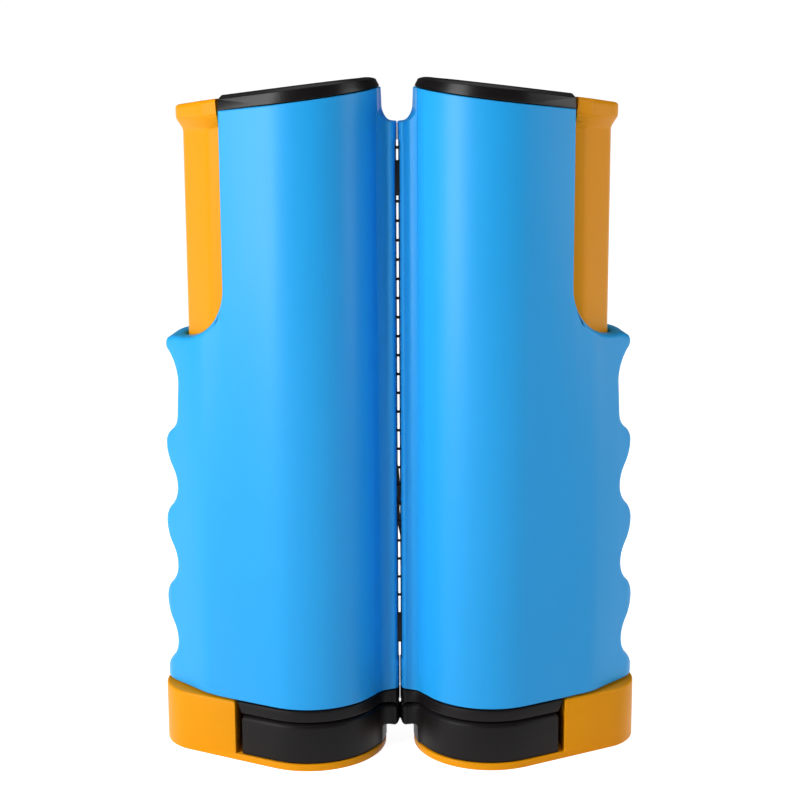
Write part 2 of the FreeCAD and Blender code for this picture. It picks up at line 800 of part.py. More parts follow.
def jaw_pad():
    """Thick grip pad on the foot plate, with a thinner tongue under the lip."""
    reach = LIP_REACH
    radius = size("barrel_radius")
    edge = size("pad_lip_round")
    tongue = PAD_TOP - size("pad_lip_height")
    plan = both_halves(clipped_flank(size("pad_reach"), radius) + lip_steps())
    inner = Vector(radius + 1, tongue - 1)
    side = [
        line(Vector(-radius, PLATE_TOP), Vector(radius, PLATE_TOP)),
        line(Vector(radius, PLATE_TOP), Vector(radius, inner.y)),
        arc(inner, Vector(radius, inner.y), Vector(inner.x, tongue)),
        line(Vector(inner.x, tongue), Vector(reach - edge, tongue)),
        arc(Vector(reach - edge, tongue + edge), Vector(reach - edge, tongue), Vector(reach, tongue + edge)),
        line(Vector(reach, tongue + edge), Vector(reach, PAD_TOP)),
        line(Vector(reach, PAD_TOP), Vector(-radius, PAD_TOP)),
        line(Vector(-radius, PAD_TOP), Vector(-radius, PLATE_TOP)),
    ]
    solid = common(
        "pad_solid",
        prism("pad_plan_prism", sketch("pad_plan", plan, z=ref("foot_plate")), ref("pad_height")),
        prism(
            "pad_side_prism", sketch("pad_side", side, upright=True),
            ACROSS, both_ways=True))
    keep("jaw_pad", chamfered(
        "pad_edge", solid, size("pad_round"), lambda point: abs(point.z - PAD_TOP) < 0.01))


def clamp_guide():
    """Guide rod on its bracket and the spring that pushes the lever up."""
    keep("guide_rod", cylinder(
        "guide_rod_solid", ref("rod_radius"), ref("rod_length"), ref("seat_height"), ROD_U))
    low = ref("seat_height", "seat_thickness")
    height = "Sizes.rod_length - Sizes.rod_end - Sizes.lever_shelf - Sizes.seat_thickness - Sizes.running_fit"
    outer = cylinder("spring_outer", ref("spring_radius"), height, low, ROD_U)
    inner = cylinder(
        "spring_inner", "Sizes.spring_radius - Sizes.spring_wire", height, low, ROD_U)
    keep("clamp_spring", cut("spring_solid", outer, inner))


TUBE_LOW = "(" + NET_BASE_REF + " - Sizes.clearance)"
TUBE_HEIGHT = "(Sizes.net_height + 2 * Sizes.clearance)"


def reel():
    """Tube that winds the net, its two end plugs, the spindle and its spring."""
    tube = cylinder("tube_outer", ref("tube_radius"), TUBE_HEIGHT, TUBE_LOW)
    bore = cylinder("tube_bore", "Sizes.tube_radius - Sizes.tube_wall", TUBE_HEIGHT, TUBE_LOW)
    keep("reel_tube", cut("tube_solid", tube, bore))
    ends = (
        ("lower", TUBE_LOW + " - Sizes.plug_end"),
        ("upper", TUBE_LOW + " + " + TUBE_HEIGHT + " - Sizes.plug_depth"))
    for end, low in ends:
        plug = cylinder(end + "_plug_body", "Sizes.tube_radius - Sizes.tube_wall", ref("plug_depth", "plug_end"), low)
        hole = cylinder(end + "_plug_bore", ref("pivot_radius", "running_fit"), ref("plug_depth", "plug_end"), low)
        keep(end + "_plug", cut(end + "_plug_cut", plug, hole))
    roll = cylinder("roll_outer", ref("roll_radius"), ref("net_height"), NET_BASE_REF)
    core = cylinder("roll_core", ref("tube_radius"), ref("net_height"), NET_BASE_REF)
    keep("net_roll", cut("roll_solid", roll, core))
    top = TUBE_LOW + " + " + TUBE_HEIGHT + " + Sizes.plug_end + Sizes.clearance + Sizes.spindle_seat"
    keep("reel_spindle", cylinder(
        "spindle_solid", ref("pivot_radius"), ref("spindle_length"), top + " - Sizes.spindle_length"))
    coil_low = top + " - Sizes.spindle_length + Sizes.rod_end"
    coil_height = (
        "Sizes.spindle_length - Sizes.rod_end - Sizes.spindle_seat - Sizes.plug_depth"
        " - Sizes.plug_end - 3 * Sizes.clearance")
    outer = cylinder("return_outer", ref("return_spring_radius"), coil_height, coil_low)
    inner = cylinder("return_inner", ref("pivot_radius"), coil_height, coil_low)
    keep("return_spring", cut("return_solid", outer, inner))


def net_feed():
    """Net between the roll and the lip, led through the slot."""
    half = size("net_thickness") / 2
    start_radius = size("roll_radius") + size("clearance") + half
    bend = Vector(size("barrel_radius") - size("shell_wall") - size("net_thickness"), 0)
    angle = math.acos(start_radius / bend.x)
    start = unit(-angle) * start_radius
    run = (bend - start).normalize()
    across = Vector(-run.y, run.x) * half
    end = LIP_REACH - size("lip_corner")
    skew = half * math.tan(math.radians(size("toe_angle")))
    step = half * math.tan(math.atan2(run.y, run.x) / 2)
    corners = (
        (start.x + across.x, start.y + across.y), (start.x - across.x, start.y - across.y),
        (bend.x + step, -half), (end + skew, -half), (end - skew, half), (bend.x - step, half))
    keep("net_feed", prism("feed_solid", sketch("feed_plan", polygon(corners), z=NET_BASE_REF), ref("net_height")))


def group(name, pieces):
    result = doc.addObject("Part::Compound", name)
    result.Links = pieces
    return result


def screws():
    """Screws of the housing and of the jaw."""
    housing = []
    for row in SCREW_ROWS:
        z = screw_z(row)
        head = along_v(cylinder("housing_head_" + row, ref("head_radius"), ref("head_height")), HEAD_V, z)
        shank = along_v(
            cylinder("housing_shank_" + row, ref("screw_radius"), ref("housing_screw_length", "head_height")),
            TIP_V, z)
        housing.append(fuse("housing_screw_" + row, head, shank))
    keep("housing_screws", group("housing_screw_group", housing))
    head_z = ref("foot_plate", "block_height", "lever_floor") + " - Sizes.jaw_screw_length - Sizes.head_height"
    head = cylinder("jaw_head", ref("head_radius"), ref("head_height"), head_z, ROD_U)
    shank = cylinder(
        "jaw_shank", ref("screw_radius"), ref("jaw_screw_length", "head_height"), head_z, ROD_U)
    keep("jaw_screw", fuse("jaw_screw_solid", head, shank))


def stand():
    """Stands one post beside the mirror plane and makes its twin."""
    toe = math.radians(size("toe_angle"))
    corner = size("lip_corner")
    reach = (LIP_REACH - corner) * math.cos(toe) + corner
    reach += (size("lip_thickness") / 2 - corner) * math.sin(toe)
    place = FreeCAD.Placement(
        Vector(-reach - size("lip_gap") / 2, 0, 0), FreeCAD.Rotation(Vector(0, 0, 1), -size("toe_angle")))
    nodes = []
    for name, piece in PARTS.items():
        left = group("left_" + name, [piece])
        left.Label = "left_" + name
        left.Placement = place
        right = doc.addObject("Part::Mirroring", "right_" + name)
        right.Label = "right_" + name
        right.Source = left
        right.Normal = Vector(1, 0, 0)
        nodes += [left, right]
    return nodes, place


def net_span(place):
    """Net between the two lips, with a gap between every two threads."""
    end = place.multVec(Vector(LIP_REACH - size("lip_corner"), 0, 0))
    reach = -end.x
    low = NET_BASE
    thread = size("net_thread")
    gap = size("net_pitch") - thread
    outline = polygon(((-reach, low), (reach, low), (reach, NET_TOP), (-reach, NET_TOP)))
    edge = reach - size("net_edge")
    gaps = []
    z = low + thread
    while z + gap < NET_TOP - size("net_tape"):
        gaps.append(polygon(((-edge, z), (edge, z), (edge, z + gap), (-edge, z + gap))))
        z += size("net_pitch")
    result = prism(
        "net_span", sketch("span_side", outline, *gaps, upright=True), ref("net_thickness"), both_ways=True)
    result.FaceMakerClass = "Part::FaceMakerBullseye"
    result.Placement.Base.y = end.y
    return result


def main():
    shells()
    base_cap()
    top_cap()
    thumb_lever()
    jaw_bracket()
    jaw_pad()
    clamp_guide()
    reel()
    net_feed()
    screws()
    nodes, place = stand()
    nodes.append(net_span(place))
    doc.recompute()
    for item in doc.Objects:
        if "Invalid" in item.State or "Error" in item.State:
            raise RuntimeError("%s did not build: %s" % (item.Name, item.State))
    os.makedirs("parts", exist_ok=True)
    for node in nodes:
        shape = node.Shape
        if shape.isNull() or not shape.isValid() or not shape.Solids:
            raise RuntimeError("%s has no valid solid" % node.Label)
    for node in nodes:
        node.Shape.exportStep("parts/%s.step" % node.Label)
        box_size = node.Shape.BoundBox
        print("%-24s %2d solids %9.1f mm3  x %.1f..%.1f y %.1f..%.1f z %.1f..%.1f" % (
            node.Label, len(node.Shape.Solids), node.Shape.Volume, box_size.XMin, box_size.XMax,
            box_size.YMin, box_size.YMax, box_size.ZMin, box_size.ZMax))


main()
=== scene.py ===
import json
import math

import bmesh
import bpy
from bpy.props import FloatProperty, FloatVectorProperty, IntProperty, PointerProperty
from bpy.types import Operator, Panel, PropertyGroup
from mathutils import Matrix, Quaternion, Vector

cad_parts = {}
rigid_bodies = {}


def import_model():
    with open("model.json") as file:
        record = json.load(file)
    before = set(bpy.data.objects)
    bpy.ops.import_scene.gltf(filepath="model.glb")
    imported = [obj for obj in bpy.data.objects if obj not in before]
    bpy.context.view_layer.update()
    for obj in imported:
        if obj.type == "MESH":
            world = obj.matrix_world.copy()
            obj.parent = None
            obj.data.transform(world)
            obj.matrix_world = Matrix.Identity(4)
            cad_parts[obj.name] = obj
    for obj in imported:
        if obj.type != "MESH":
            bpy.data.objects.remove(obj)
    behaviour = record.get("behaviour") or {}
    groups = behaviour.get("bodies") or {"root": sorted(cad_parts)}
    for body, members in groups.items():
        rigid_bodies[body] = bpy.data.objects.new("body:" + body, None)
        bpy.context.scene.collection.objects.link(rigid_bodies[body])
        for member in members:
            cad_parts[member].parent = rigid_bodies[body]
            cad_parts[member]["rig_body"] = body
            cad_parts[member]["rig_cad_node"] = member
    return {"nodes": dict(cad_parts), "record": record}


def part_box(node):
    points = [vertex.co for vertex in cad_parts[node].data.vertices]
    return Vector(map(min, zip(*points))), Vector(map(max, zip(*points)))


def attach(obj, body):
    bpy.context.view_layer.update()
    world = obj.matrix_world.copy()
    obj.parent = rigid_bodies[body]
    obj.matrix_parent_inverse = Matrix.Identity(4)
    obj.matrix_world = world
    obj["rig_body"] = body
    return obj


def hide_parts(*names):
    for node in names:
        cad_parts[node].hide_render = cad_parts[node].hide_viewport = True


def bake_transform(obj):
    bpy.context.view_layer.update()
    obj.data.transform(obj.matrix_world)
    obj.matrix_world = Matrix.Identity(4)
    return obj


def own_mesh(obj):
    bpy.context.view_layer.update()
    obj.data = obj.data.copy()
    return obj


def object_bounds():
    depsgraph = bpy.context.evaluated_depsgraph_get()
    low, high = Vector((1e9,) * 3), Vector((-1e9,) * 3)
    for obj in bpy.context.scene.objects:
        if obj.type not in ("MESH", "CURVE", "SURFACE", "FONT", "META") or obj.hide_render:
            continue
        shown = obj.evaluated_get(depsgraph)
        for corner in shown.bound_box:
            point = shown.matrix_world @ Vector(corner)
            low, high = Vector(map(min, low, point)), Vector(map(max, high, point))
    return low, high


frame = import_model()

bl_info = {
    "name": "Retractable Net Posts",
    "version": (1, 0, 0),
    "blender": (4, 5, 0),
    "location": "View3D > Sidebar > Net Posts",
    "description": "Dresses a pair of retractable table tennis net posts round their packed frame",
    "category": "Object",
}

MM = 0.001
SIDES = ("left", "right")
CAD_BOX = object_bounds()
BOX_MARGIN = 0.02 * MM

# Places of the two posts: each one's axis, and how far its own u axis, towards the lip, turns off the world's X.
# u and v are a post's own axes, v towards the back.
POST_AXIS = 24.915 * MM
TOE_ANGLE = 10

# Plan of the housing: the barrel, the flank, the facet and the nose
BARREL = 20.5 * MM
FLANK_ANGLE = 16.5
FACET_ANGLE = 35
NOSE_RADIUS = 6.5 * MM
NOSE_CENTRE = -34.3 * MM

# Edges of the shells: soft ones lie ahead of a place along the grip and below a height; fine ones lie near the seam,
# past a place towards the lip, or under the skin
GRIP_START = -20 * MM
RIM_END = 124 * MM
SEAM_REACH = 0.1 * MM
FINE_SHELL = 19 * MM
SKIN_DEPTH = 0.4 * MM

# The lips along u: root, start of the flat part, start and end of the tip, and where the edges of the caps and pads
# get fine; half the thickness and the round in the frame; half the thickness at the root and the slant here
LIP_ROOT = 20.5 * MM
LIP_FLAT = 22.3 * MM
LIP_START = 23.2 * MM
LIP_END = 24.7 * MM
FINE_LIP = 21.5 * MM
LIP_HALF = 2.1 * MM
ROOT_RADIUS = 2.2 * MM
ROOT_CENTRE = math.sqrt((BARREL + ROOT_RADIUS) ** 2 - (LIP_HALF + ROOT_RADIUS) ** 2)
ROOT_DEPTH = 19.3 * MM
SLOT_HALF = 0.95 * MM
LIP_ROOT_HALF = 3.05 * MM
LIP_SLANT = 0.40

# Wide round between the barrel and a slanted lip: its radius, its centre, the turns between which it runs, the step of
# its search, and where the plain slant takes over
FILLET_RADIUS = 5 * MM
FILLET_CENTRE = (24.57 * MM, 6.81 * MM)
FILLET_TURN = (15.6, 68.2)
FILLET_STEP = 0.02 * MM
SLANT_START = FILLET_CENTRE[0] - FILLET_RADIUS * 0.4

# The slant ends between these heights under the top; the net passes between the window's heights, and the tips come
# nearer to the other post by these amounts: at the window, past it, and on the pads
SLANT_FADE = (181 * MM, 174.4 * MM)
NET_WINDOW = (26.5 * MM, 169.3 * MM)
WINDOW_EDGE = 0.4 * MM
WINDOW_FIT = 0.12 * MM
END_FIT = 0.32 * MM
PAD_FIT = 0.39 * MM

# Seam between the shells and the base cap: its height, its rise at the lips and the cap's rim below it; and how far
# under it the tips end flush
SEAM_HEIGHT = 17.4 * MM
LIP_RISE = 0.6 * MM
SEAM_BAND = (-1 * MM, 0.7 * MM)
BASE_RIM = 1 * MM
FLUSH_DROP = 3 * MM
FLUSH_SHARE = 0.3

# Slanted top: its height at a post's axis, its slope, the cap's thickness and tilt, where the tilt starts, the cap's
# rim, and what still counts as level with a plane
BODY_TOP = 180.62 * MM
TOP_SLOPE = 0.1236
CAP_HEIGHT = 3.1 * MM
CAP_TILT = 0.055
CAP_FOOT = 0.8 * MM
CAP_RIM = 1.2 * MM
LEVEL = 0.2 * MM

# Plan of the lever: its rear end, its nose, and how far its facet and its flank lie from the axis
LEVER_REAR = -19.5 * MM
LEVER_NOSE = -26.31 * MM
LEVER_NOSE_RADIUS = 6.01 * MM
LEVER_SIDES = ((45, 24.61 * MM), (90 - FLANK_ANGLE, 18.0 * MM))
LEVER_BLEND = 0.4 * MM

# The lever's head starts above this height; over the slanted plane, the head is rebuilt between the first pair of
# heights, the frame's flare lies between the second pair, the soft flare between the third and the tilt starts
# between the fourth
HEAD_BASE = 170 * MM
HEAD_SOFT = (-6.0 * MM, 1.2 * MM)
FRAME_FLARE = (-4.36 * MM, -1.40 * MM)
SOFT_FLARE = (-5.4 * MM, -0.9 * MM)
TILT_START = (-1 * MM, 1.8 * MM)
HEAD_TILT = 0.07
HEAD_STEP = 0.4 * MM
HEAD_REACH = 1.85 * MM
FRAME_REACH = HEAD_REACH - 0.15 * MM
FRAME_FLARE_REACH = HEAD_REACH - 0.2 * MM
HEAD_SKIN = -0.45 * MM
HEAD_REAR = -18.9 * MM
HEAD_MERGE = 0.12 * MM

# Rim's side view, and the collar: its centre, its gap to the lever, its inset from the skin, its tip, its lift over
# the rim, the step of its search, its depth, and its inner edge as (inset, drop)
RIM_CENTRE = -33.1 * MM
RIM_HEIGHT = 116.9 * MM
RIM_ROUND = 9 * MM
RIM_SWEEP = 14.5 * MM
COLLAR_CENTRE = -27 * MM
COLLAR_GAP = 0.7 * MM
COLLAR_INSET = 1.0 * MM
COLLAR_TIP = -36.8 * MM
COLLAR_LIFT = 0.03 * MM
COLLAR_STEP = 0.05 * MM
COLLAR_DEPTH = 2.6 * MM
COLLAR_EDGE = ((0, 0.7 * MM), (0.15 * MM, 0.3 * MM), (0.5 * MM, 0))

# Net between the two reels: its heights, and its path from the left roll to the gap between the lips
TOP_CORD = 167.6 * MM
TOP_TAPE = (154.9 * MM, 164.3 * MM)
FIRST_ROW = 153.4 * MM
ROWS = 22
FOOT_TAPE = (30.6 * MM, 39.3 * MM)
HALF_PATH = ((-17.0 * MM, -10.5 * MM), (-7.2 * MM, -3.2 * MM), (-2.2 * MM, -4.0 * MM))

# Its folded meshes: where they lie along X and Y, and the thread that crosses the gap, as (x, z) in mm at its share
FOLDED_AT = -3.0 * MM
FOLD_SPAN = (-4.2 * MM, -3.54 * MM)
CROSSING = ((-1.5, 96), (-1.2, 84), (-0.35, 80), (0.05, 74), (-0.25, 69), (0.15, 64), (0.9, 60), (1.5, 50))
CROSSING_SHARE = 0.43

# Wound net: turns of the spiral, steps of each turn, and its band's thickness in tapes
WOUND_TURNS = 6
WOUND_STEPS = 44
WOUND_TAPES = 1.4

# Return spring: its wire as a share of the clamp spring's, and its pitch in wires
RETURN_WIRE = 0.7
RETURN_PITCH = 1.35

# Screws: the rounding of their heads, what parts two heads along Z, what belongs to a head's face, and the length,
# width, depth and turn of the cross recess
SCREW_EDGE = 0.25 * MM
SCREW_GAP = 8 * MM
SCREW_FACE = 0.05 * MM
CROSS = (2.5 * MM, 0.6 * MM, 0.9 * MM)
CROSS_TURN = 0.4

# The photograph's camera, found by fitting the frame's outlines to it
CAMERA_DISTANCE = 0.500
CAMERA_PITCH = 11.89
CAMERA_ROLL = -0.306
CAMERA_TARGET_HEIGHT = 0.1163
CAMERA_LENS = 83.47
PHOTO_SIZE = 800
PHOTO_CENTRE = (398.1, 336.0)

# Stage: distances from the object between which the floor brightens, its brightness at both, and the light that the
# surroundings give
FLOOR_DISTANCES = (0.3, 2.0)
FLOOR_LEVELS = (0.9, 1.0)
WORLD_STRENGTH = 0.04


class NetPostSizes(PropertyGroup):
    """Sizes of the details that the frame leaves to this scene."""

    grip_edge: FloatProperty(
        name="Grip edge", description="Rounding of the finger grooves and the rim", default=0.9 * MM, unit="LENGTH")
    housing_edge: FloatProperty(
        name="Housing edge", description="Rounding of the shells' other outer edges", default=0.45 * MM,
        unit="LENGTH")
    seam_edge: FloatProperty(
        name="Seam edge", description="Rounding along the seam, the slot and inside", default=0.12 * MM,
        unit="LENGTH")
    seam_gap: FloatProperty(
        name="Seam gap", description="Gap between the shells and the caps", default=0.3 * MM, unit="LENGTH")
    cap_edge: FloatProperty(
        name="Cap edge", description="Rounding of the top cap's edge", default=1.3 * MM, unit="LENGTH")
    jaw_edge: FloatProperty(
        name="Jaw edge", description="Rounding of the pad and the base cap", default=0.45 * MM, unit="LENGTH")
    head_edge: FloatProperty(
        name="Head edge", description="Rounding of the lever's head", default=1.1 * MM, unit="LENGTH")
    lever_edge: FloatProperty(
        name="Lever edge", description="Rounding of the lever and the jaw bracket", default=0.4 * MM, unit="LENGTH")
    net_pitch: FloatProperty(
        name="Net pitch", description="Distance between two threads", default=5.19 * MM, unit="LENGTH")
    net_thread: FloatProperty(
        name="Net thread", description="Width of one thread", default=0.8 * MM, unit="LENGTH")
    net_tape: FloatProperty(
        name="Net tape", description="Thickness of the tapes along the net's edges", default=0.4 * MM, unit="LENGTH")
    coil_wire: FloatProperty(
        name="Coil wire", description="Diameter of the clamp spring's wire", default=1.3 * MM, unit="LENGTH")
    coil_turns: IntProperty(
        name="Coil turns", description="Turns of the clamp spring", default=18, min=4)


class NetPostColours(PropertyGroup):
    """Colours of the finishes."""

    housing: FloatVectorProperty(
        name="Housing", description="Plastic of the shells", subtype="COLOR", default=(0.020, 0.415, 0.930))
    lever: FloatVectorProperty(
        name="Lever", description="Plastic of the levers and jaw brackets", subtype="COLOR",
        default=(0.930, 0.355, 0.002))
    cap: FloatVectorProperty(
        name="Cap", description="Plastic of the top caps", subtype="COLOR", default=(0.008, 0.0065, 0.0065))
    jaw: FloatVectorProperty(
        name="Jaw", description="Plastic of the pads and base caps", subtype="COLOR",
        default=(0.0078, 0.0062, 0.0062))
    net: FloatVectorProperty(
        name="Net", description="Net thread", subtype="COLOR", default=(0.018, 0.018, 0.020))


# Node groups and materials
def new_group(name, inputs, outputs):
    """Empty node group with named sockets."""
    group = bpy.data.node_groups.new(name, "ShaderNodeTree")
    for socket, kind, value in inputs:
        made = group.interface.new_socket(socket, in_out="INPUT", socket_type=kind)
        made.default_value = value
    for socket, kind in outputs:
        group.interface.new_socket(socket, in_out="OUTPUT", socket_type=kind)
    return group, group.nodes.new("NodeGroupInput"), group.nodes.new("NodeGroupOutput")


def add_node(tree, kind, values=None, operation=None):
    """New node of a tree, with the values of its inputs and its operation."""
    made = tree.nodes.new("ShaderNode" + kind)
    if operation:
        made.operation = operation
    for socket, value in (values or {}).items():
        made.inputs[socket].default_value = value
    return made


def tint_by(tree, inward, outward, factor, change, level):
    """Links a group's colour from inside to outside, made lighter and darker by a factor."""
    shade = add_node(tree, "Math", {1: change, 2: level}, "MULTIPLY_ADD")
    tree.links.new(factor, shade.inputs[0])
    tint = add_node(tree, "VectorMath", operation="SCALE")
    tree.links.new(inward.outputs["Colour"], tint.inputs[0])
    tree.links.new(shade.outputs[0], tint.inputs["Scale"])
    tree.links.new(tint.outputs[0], outward.inputs["Colour"])


SURFACE_OUTPUTS = (("Colour", "NodeSocketColor"), ("Roughness", "NodeSocketFloat"), ("Height", "NodeSocketFloat"))


def moulded_group():
    """Moulded plastic: fine grain, slow sink marks and a slightly uneven gloss."""
    group, inward, outward = new_group(
        "Moulded Plastic",
        (("Colour", "NodeSocketColor", (0.5, 0.5, 0.5, 1)), ("Roughness", "NodeSocketFloat", 0.4),
         ("Grain Size", "NodeSocketFloat", 2600.0), ("Gloss Change", "NodeSocketFloat", 0.06)),
        SURFACE_OUTPUTS)
    links = group.links
    place = add_node(group, "TexCoord")
    grain = add_node(group, "TexNoise", {"Detail": 3})
    slow = add_node(group, "TexNoise", {"Scale": 34, "Detail": 2})
    links.new(place.outputs["Object"], grain.inputs["Vector"])
    links.new(place.outputs["Object"], slow.inputs["Vector"])
    links.new(inward.outputs["Grain Size"], grain.inputs["Scale"])
    centred = add_node(group, "Math", {1: 0.5}, "SUBTRACT")
    links.new(slow.outputs["Fac"], centred.inputs[0])
    change = add_node(group, "Math", operation="MULTIPLY_ADD")
    links.new(centred.outputs[0], change.inputs[0])
    links.new(inward.outputs["Gloss Change"], change.inputs[1])
    links.new(inward.outputs["Roughness"], change.inputs[2])
    tint_by(group, inward, outward, centred.outputs[0], 0.05, 1)
    links.new(change.outputs[0], outward.inputs["Roughness"])
    links.new(grain.outputs["Fac"], outward.inputs["Height"])
    return group


def drawn_metal_group():
    """Drawn metal: fine lines along the part and small changes of gloss."""
    group, inward, outward = new_group(
        "Drawn Metal",
        (("Colour", "NodeSocketColor", (0.5, 0.5, 0.5, 1)), ("Roughness", "NodeSocketFloat", 0.3)),
        SURFACE_OUTPUTS)
    links = group.links
    place = add_node(group, "TexCoord")
    stretch = add_node(group, "Mapping", {"Scale": (3000, 3000, 120)})
    lines = add_node(group, "TexNoise", {"Scale": 1})
    links.new(place.outputs["Object"], stretch.inputs["Vector"])
    links.new(stretch.outputs[0], lines.inputs["Vector"])
    change = add_node(group, "Math", {1: 0.15}, "MULTIPLY_ADD")
    links.new(lines.outputs["Fac"], change.inputs[0])
    links.new(inward.outputs["Roughness"], change.inputs[2])
    links.new(inward.outputs["Colour"], outward.inputs["Colour"])
    links.new(change.outputs[0], outward.inputs["Roughness"])
    links.new(lines.outputs["Fac"], outward.inputs["Height"])
    return group


def thread_group():
    """Twisted thread: slanting strands that repeat along the net, with the colour painted darker in the grooves
    between strands as shade and lighter on their crests as highlight.
    """
    group, inward, outward = new_group(
        "Twisted Thread",
        (("Colour", "NodeSocketColor", (0.02, 0.02, 0.02, 1)), ("Roughness", "NodeSocketFloat", 0.7)),
        SURFACE_OUTPUTS)
    links = group.links
    place = add_node(group, "TexCoord")
    strands = add_node(group, "TexWave", {"Scale": 520, "Distortion": 2})
    strands.bands_direction = "DIAGONAL"
    links.new(place.outputs["Object"], strands.inputs["Vector"])
    # Painted shade and highlight: the colour is darker in the grooves between strands and lighter on their crests, in
    # step with the bump
    tint_by(group, inward, outward, strands.outputs["Fac"], 0.5, 0.75)
    links.new(inward.outputs["Roughness"], outward.inputs["Roughness"])
    links.new(strands.outputs["Fac"], outward.inputs["Height"])
    return group


def finish_material(name, group, colour, roughness, bump, metallic=0.0, specular=0.5, **values):
    """Material that places a shared group in front of a Principled shader."""
    material = bpy.data.materials.new(name)
    material.use_nodes = True
    tree, links = material.node_tree, material.node_tree.links
    shader = tree.nodes["Principled BSDF"]
    shader.inputs["Metallic"].default_value = metallic
    shader.inputs["Specular IOR Level"].default_value = specular
    surface = add_node(tree, "Group")
    surface.node_tree = group
    surface.inputs["Colour"].default_value = (*colour, 1)
    surface.inputs["Roughness"].default_value = roughness
    for socket, value in values.items():
        surface.inputs[socket.replace("_", " ").title()].default_value = value
    relief = add_node(tree, "Bump", {"Strength": bump, "Distance": 0.1 * MM})
    links.new(surface.outputs["Colour"], shader.inputs["Base Color"])
    links.new(surface.outputs["Roughness"], shader.inputs["Roughness"])
    links.new(surface.outputs["Height"], relief.inputs["Height"])
    links.new(relief.outputs["Normal"], shader.inputs["Normal"])
    return material


MATERIALS = {}


def make_materials(colours):
    """One material for each slot of the record."""
    plastic = moulded_group()
    metal = drawn_metal_group()
    thread = thread_group()
    MATERIALS["housing_blue"] = finish_material(
        "Blue Housing Plastic", plastic, colours.housing, 0.38, 0.05, specular=0.28)
    MATERIALS["lever_orange"] = finish_material(
        "Orange Lever Plastic", plastic, colours.lever, 0.40, 0.16, specular=0.14, grain_size=1500)
    MATERIALS["cap_black"] = finish_material(
        "Black Cap Plastic", plastic, colours.cap, 0.30, 0.10, specular=0.28)
    MATERIALS["jaw_black"] = finish_material(
        "Black Jaw Plastic", plastic, colours.jaw, 0.42, 0.12, specular=0.14)
    MATERIALS["reel_plastic"] = finish_material(
        "Grey Reel Plastic", plastic, (0.30, 0.30, 0.30), 0.45, 0.08)
    MATERIALS["net_cord"] = finish_material(
        "Net Thread", thread, colours.net, 0.7, 0.4)
    MATERIALS["steel"] = finish_material(
        "Drawn Steel", metal, (0.55, 0.55, 0.56), 0.22, 0.05, metallic=1.0)
    MATERIALS["spring_steel"] = finish_material(
        "Spring Steel", metal, (0.40, 0.40, 0.41), 0.28, 0.05, metallic=1.0)
    MATERIALS["screw_steel"] = finish_material(
        "Zinc Plated Steel", metal, (0.62, 0.62, 0.60), 0.26, 0.04, metallic=1.0)


# Modelling helpers
def select_none():
    """Object mode with nothing selected."""
    if bpy.context.object and bpy.context.object.mode != "OBJECT":
        bpy.ops.object.mode_set(mode="OBJECT")
    bpy.ops.object.select_all(action="DESELECT")


def only(piece):
    """Leaves just this object selected, and active."""
    select_none()
    piece.select_set(True)
    bpy.context.view_layer.objects.active = piece


def dress(piece, slot):
    """Gives a piece the material of its slot."""
    piece.data.materials.clear()
    piece.data.materials.append(MATERIALS[slot])


def slot_of(node):
    """Material slot of a node in the record."""
    for entry in frame["record"]["subparts"]:
        if entry["node"] == node:
            return entry["material_slot"]
    raise KeyError(node)


def body_of(node):
    """Body that a node belongs to in the record."""
    for body, nodes in frame["record"]["behaviour"]["bodies"].items():
        if node in nodes:
            return body
    raise KeyError(node)


def face_outward(piece):
    """Turns all faces of a piece outward."""
    only(piece)
    bpy.ops.object.mode_set(mode="EDIT")
    bpy.ops.mesh.select_all(action="SELECT")
    bpy.ops.mesh.normals_make_consistent(inside=False)
    bpy.ops.object.mode_set(mode="OBJECT")


def settle(piece, node, smooth_angle=30):
    """Smooths a piece, dresses it and lets it stand for its node."""
    only(piece)
    bpy.ops.object.shade_smooth_by_angle(angle=math.radians(smooth_angle))
    dress(piece, slot_of(node))
    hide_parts(node)
    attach(piece, body_of(node))
    return piece


def apply_modifier(piece, kind, **values):
    """Adds a modifier, sets it and applies it."""
    only(piece)
    modifier = piece.modifiers.new(kind.title(), kind)
    for name, value in values.items():
        setattr(modifier, name, value)
    bpy.ops.object.modifier_apply(modifier=modifier.name)


def merged_copy(node, name):
    """Copy of a node's mesh with its triangles joined into faces."""
    only(frame["nodes"][node])
    frame["nodes"][node].hide_viewport = False
    bpy.ops.object.duplicate()
    piece = bpy.context.object
    piece.parent = None
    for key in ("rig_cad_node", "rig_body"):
        if key in piece:
            del piece[key]
    piece.name = name
    piece.data.name = name
    only(piece)
    bpy.ops.mesh.customdata_custom_splitnormals_clear()
    bpy.ops.object.mode_set(mode="EDIT")
    bpy.ops.mesh.select_all(action="SELECT")
    bpy.ops.mesh.remove_doubles(threshold=0.002 * MM)
    bpy.ops.mesh.dissolve_limited(angle_limit=math.radians(0.5))
    bpy.ops.object.mode_set(mode="OBJECT")
    return piece


def rounded_copy(node, name, width, segments=3, angle=28, width_at=None):
    """Copy of a node with rounded edges; width_at gives an edge's own width from its middle and its bend."""
    piece = merged_copy(node, name)
    if width_at is None:
        apply_modifier(
            piece, "BEVEL", limit_method="ANGLE", angle_limit=math.radians(angle), width=width, segments=segments,
            use_clamp_overlap=True, miter_outer="MITER_ARC")
        return piece
    shape = bmesh.new()
    shape.from_mesh(piece.data)
    weights = shape.edges.layers.float.new("bevel_weight_edge")
    for edge in shape.edges:
        bend = edge.calc_face_angle(0)
        if bend > math.radians(angle):
            middle = (edge.verts[0].co + edge.verts[1].co) / 2
            edge[weights] = min(width_at(middle, edge) / width, 1)
    shape.to_mesh(piece.data)
    shape.free()
    apply_modifier(
        piece, "BEVEL", limit_method="WEIGHT", width=width, segments=segments, use_clamp_overlap=False,
        loop_slide=False, miter_outer="MITER_ARC")
    return piece


def share_between(value, pair):
    """How far a value has come from the first of a pair to the second, from 0 to 1."""
    return min(max((value - pair[0]) / (pair[1] - pair[0]), 0), 1)


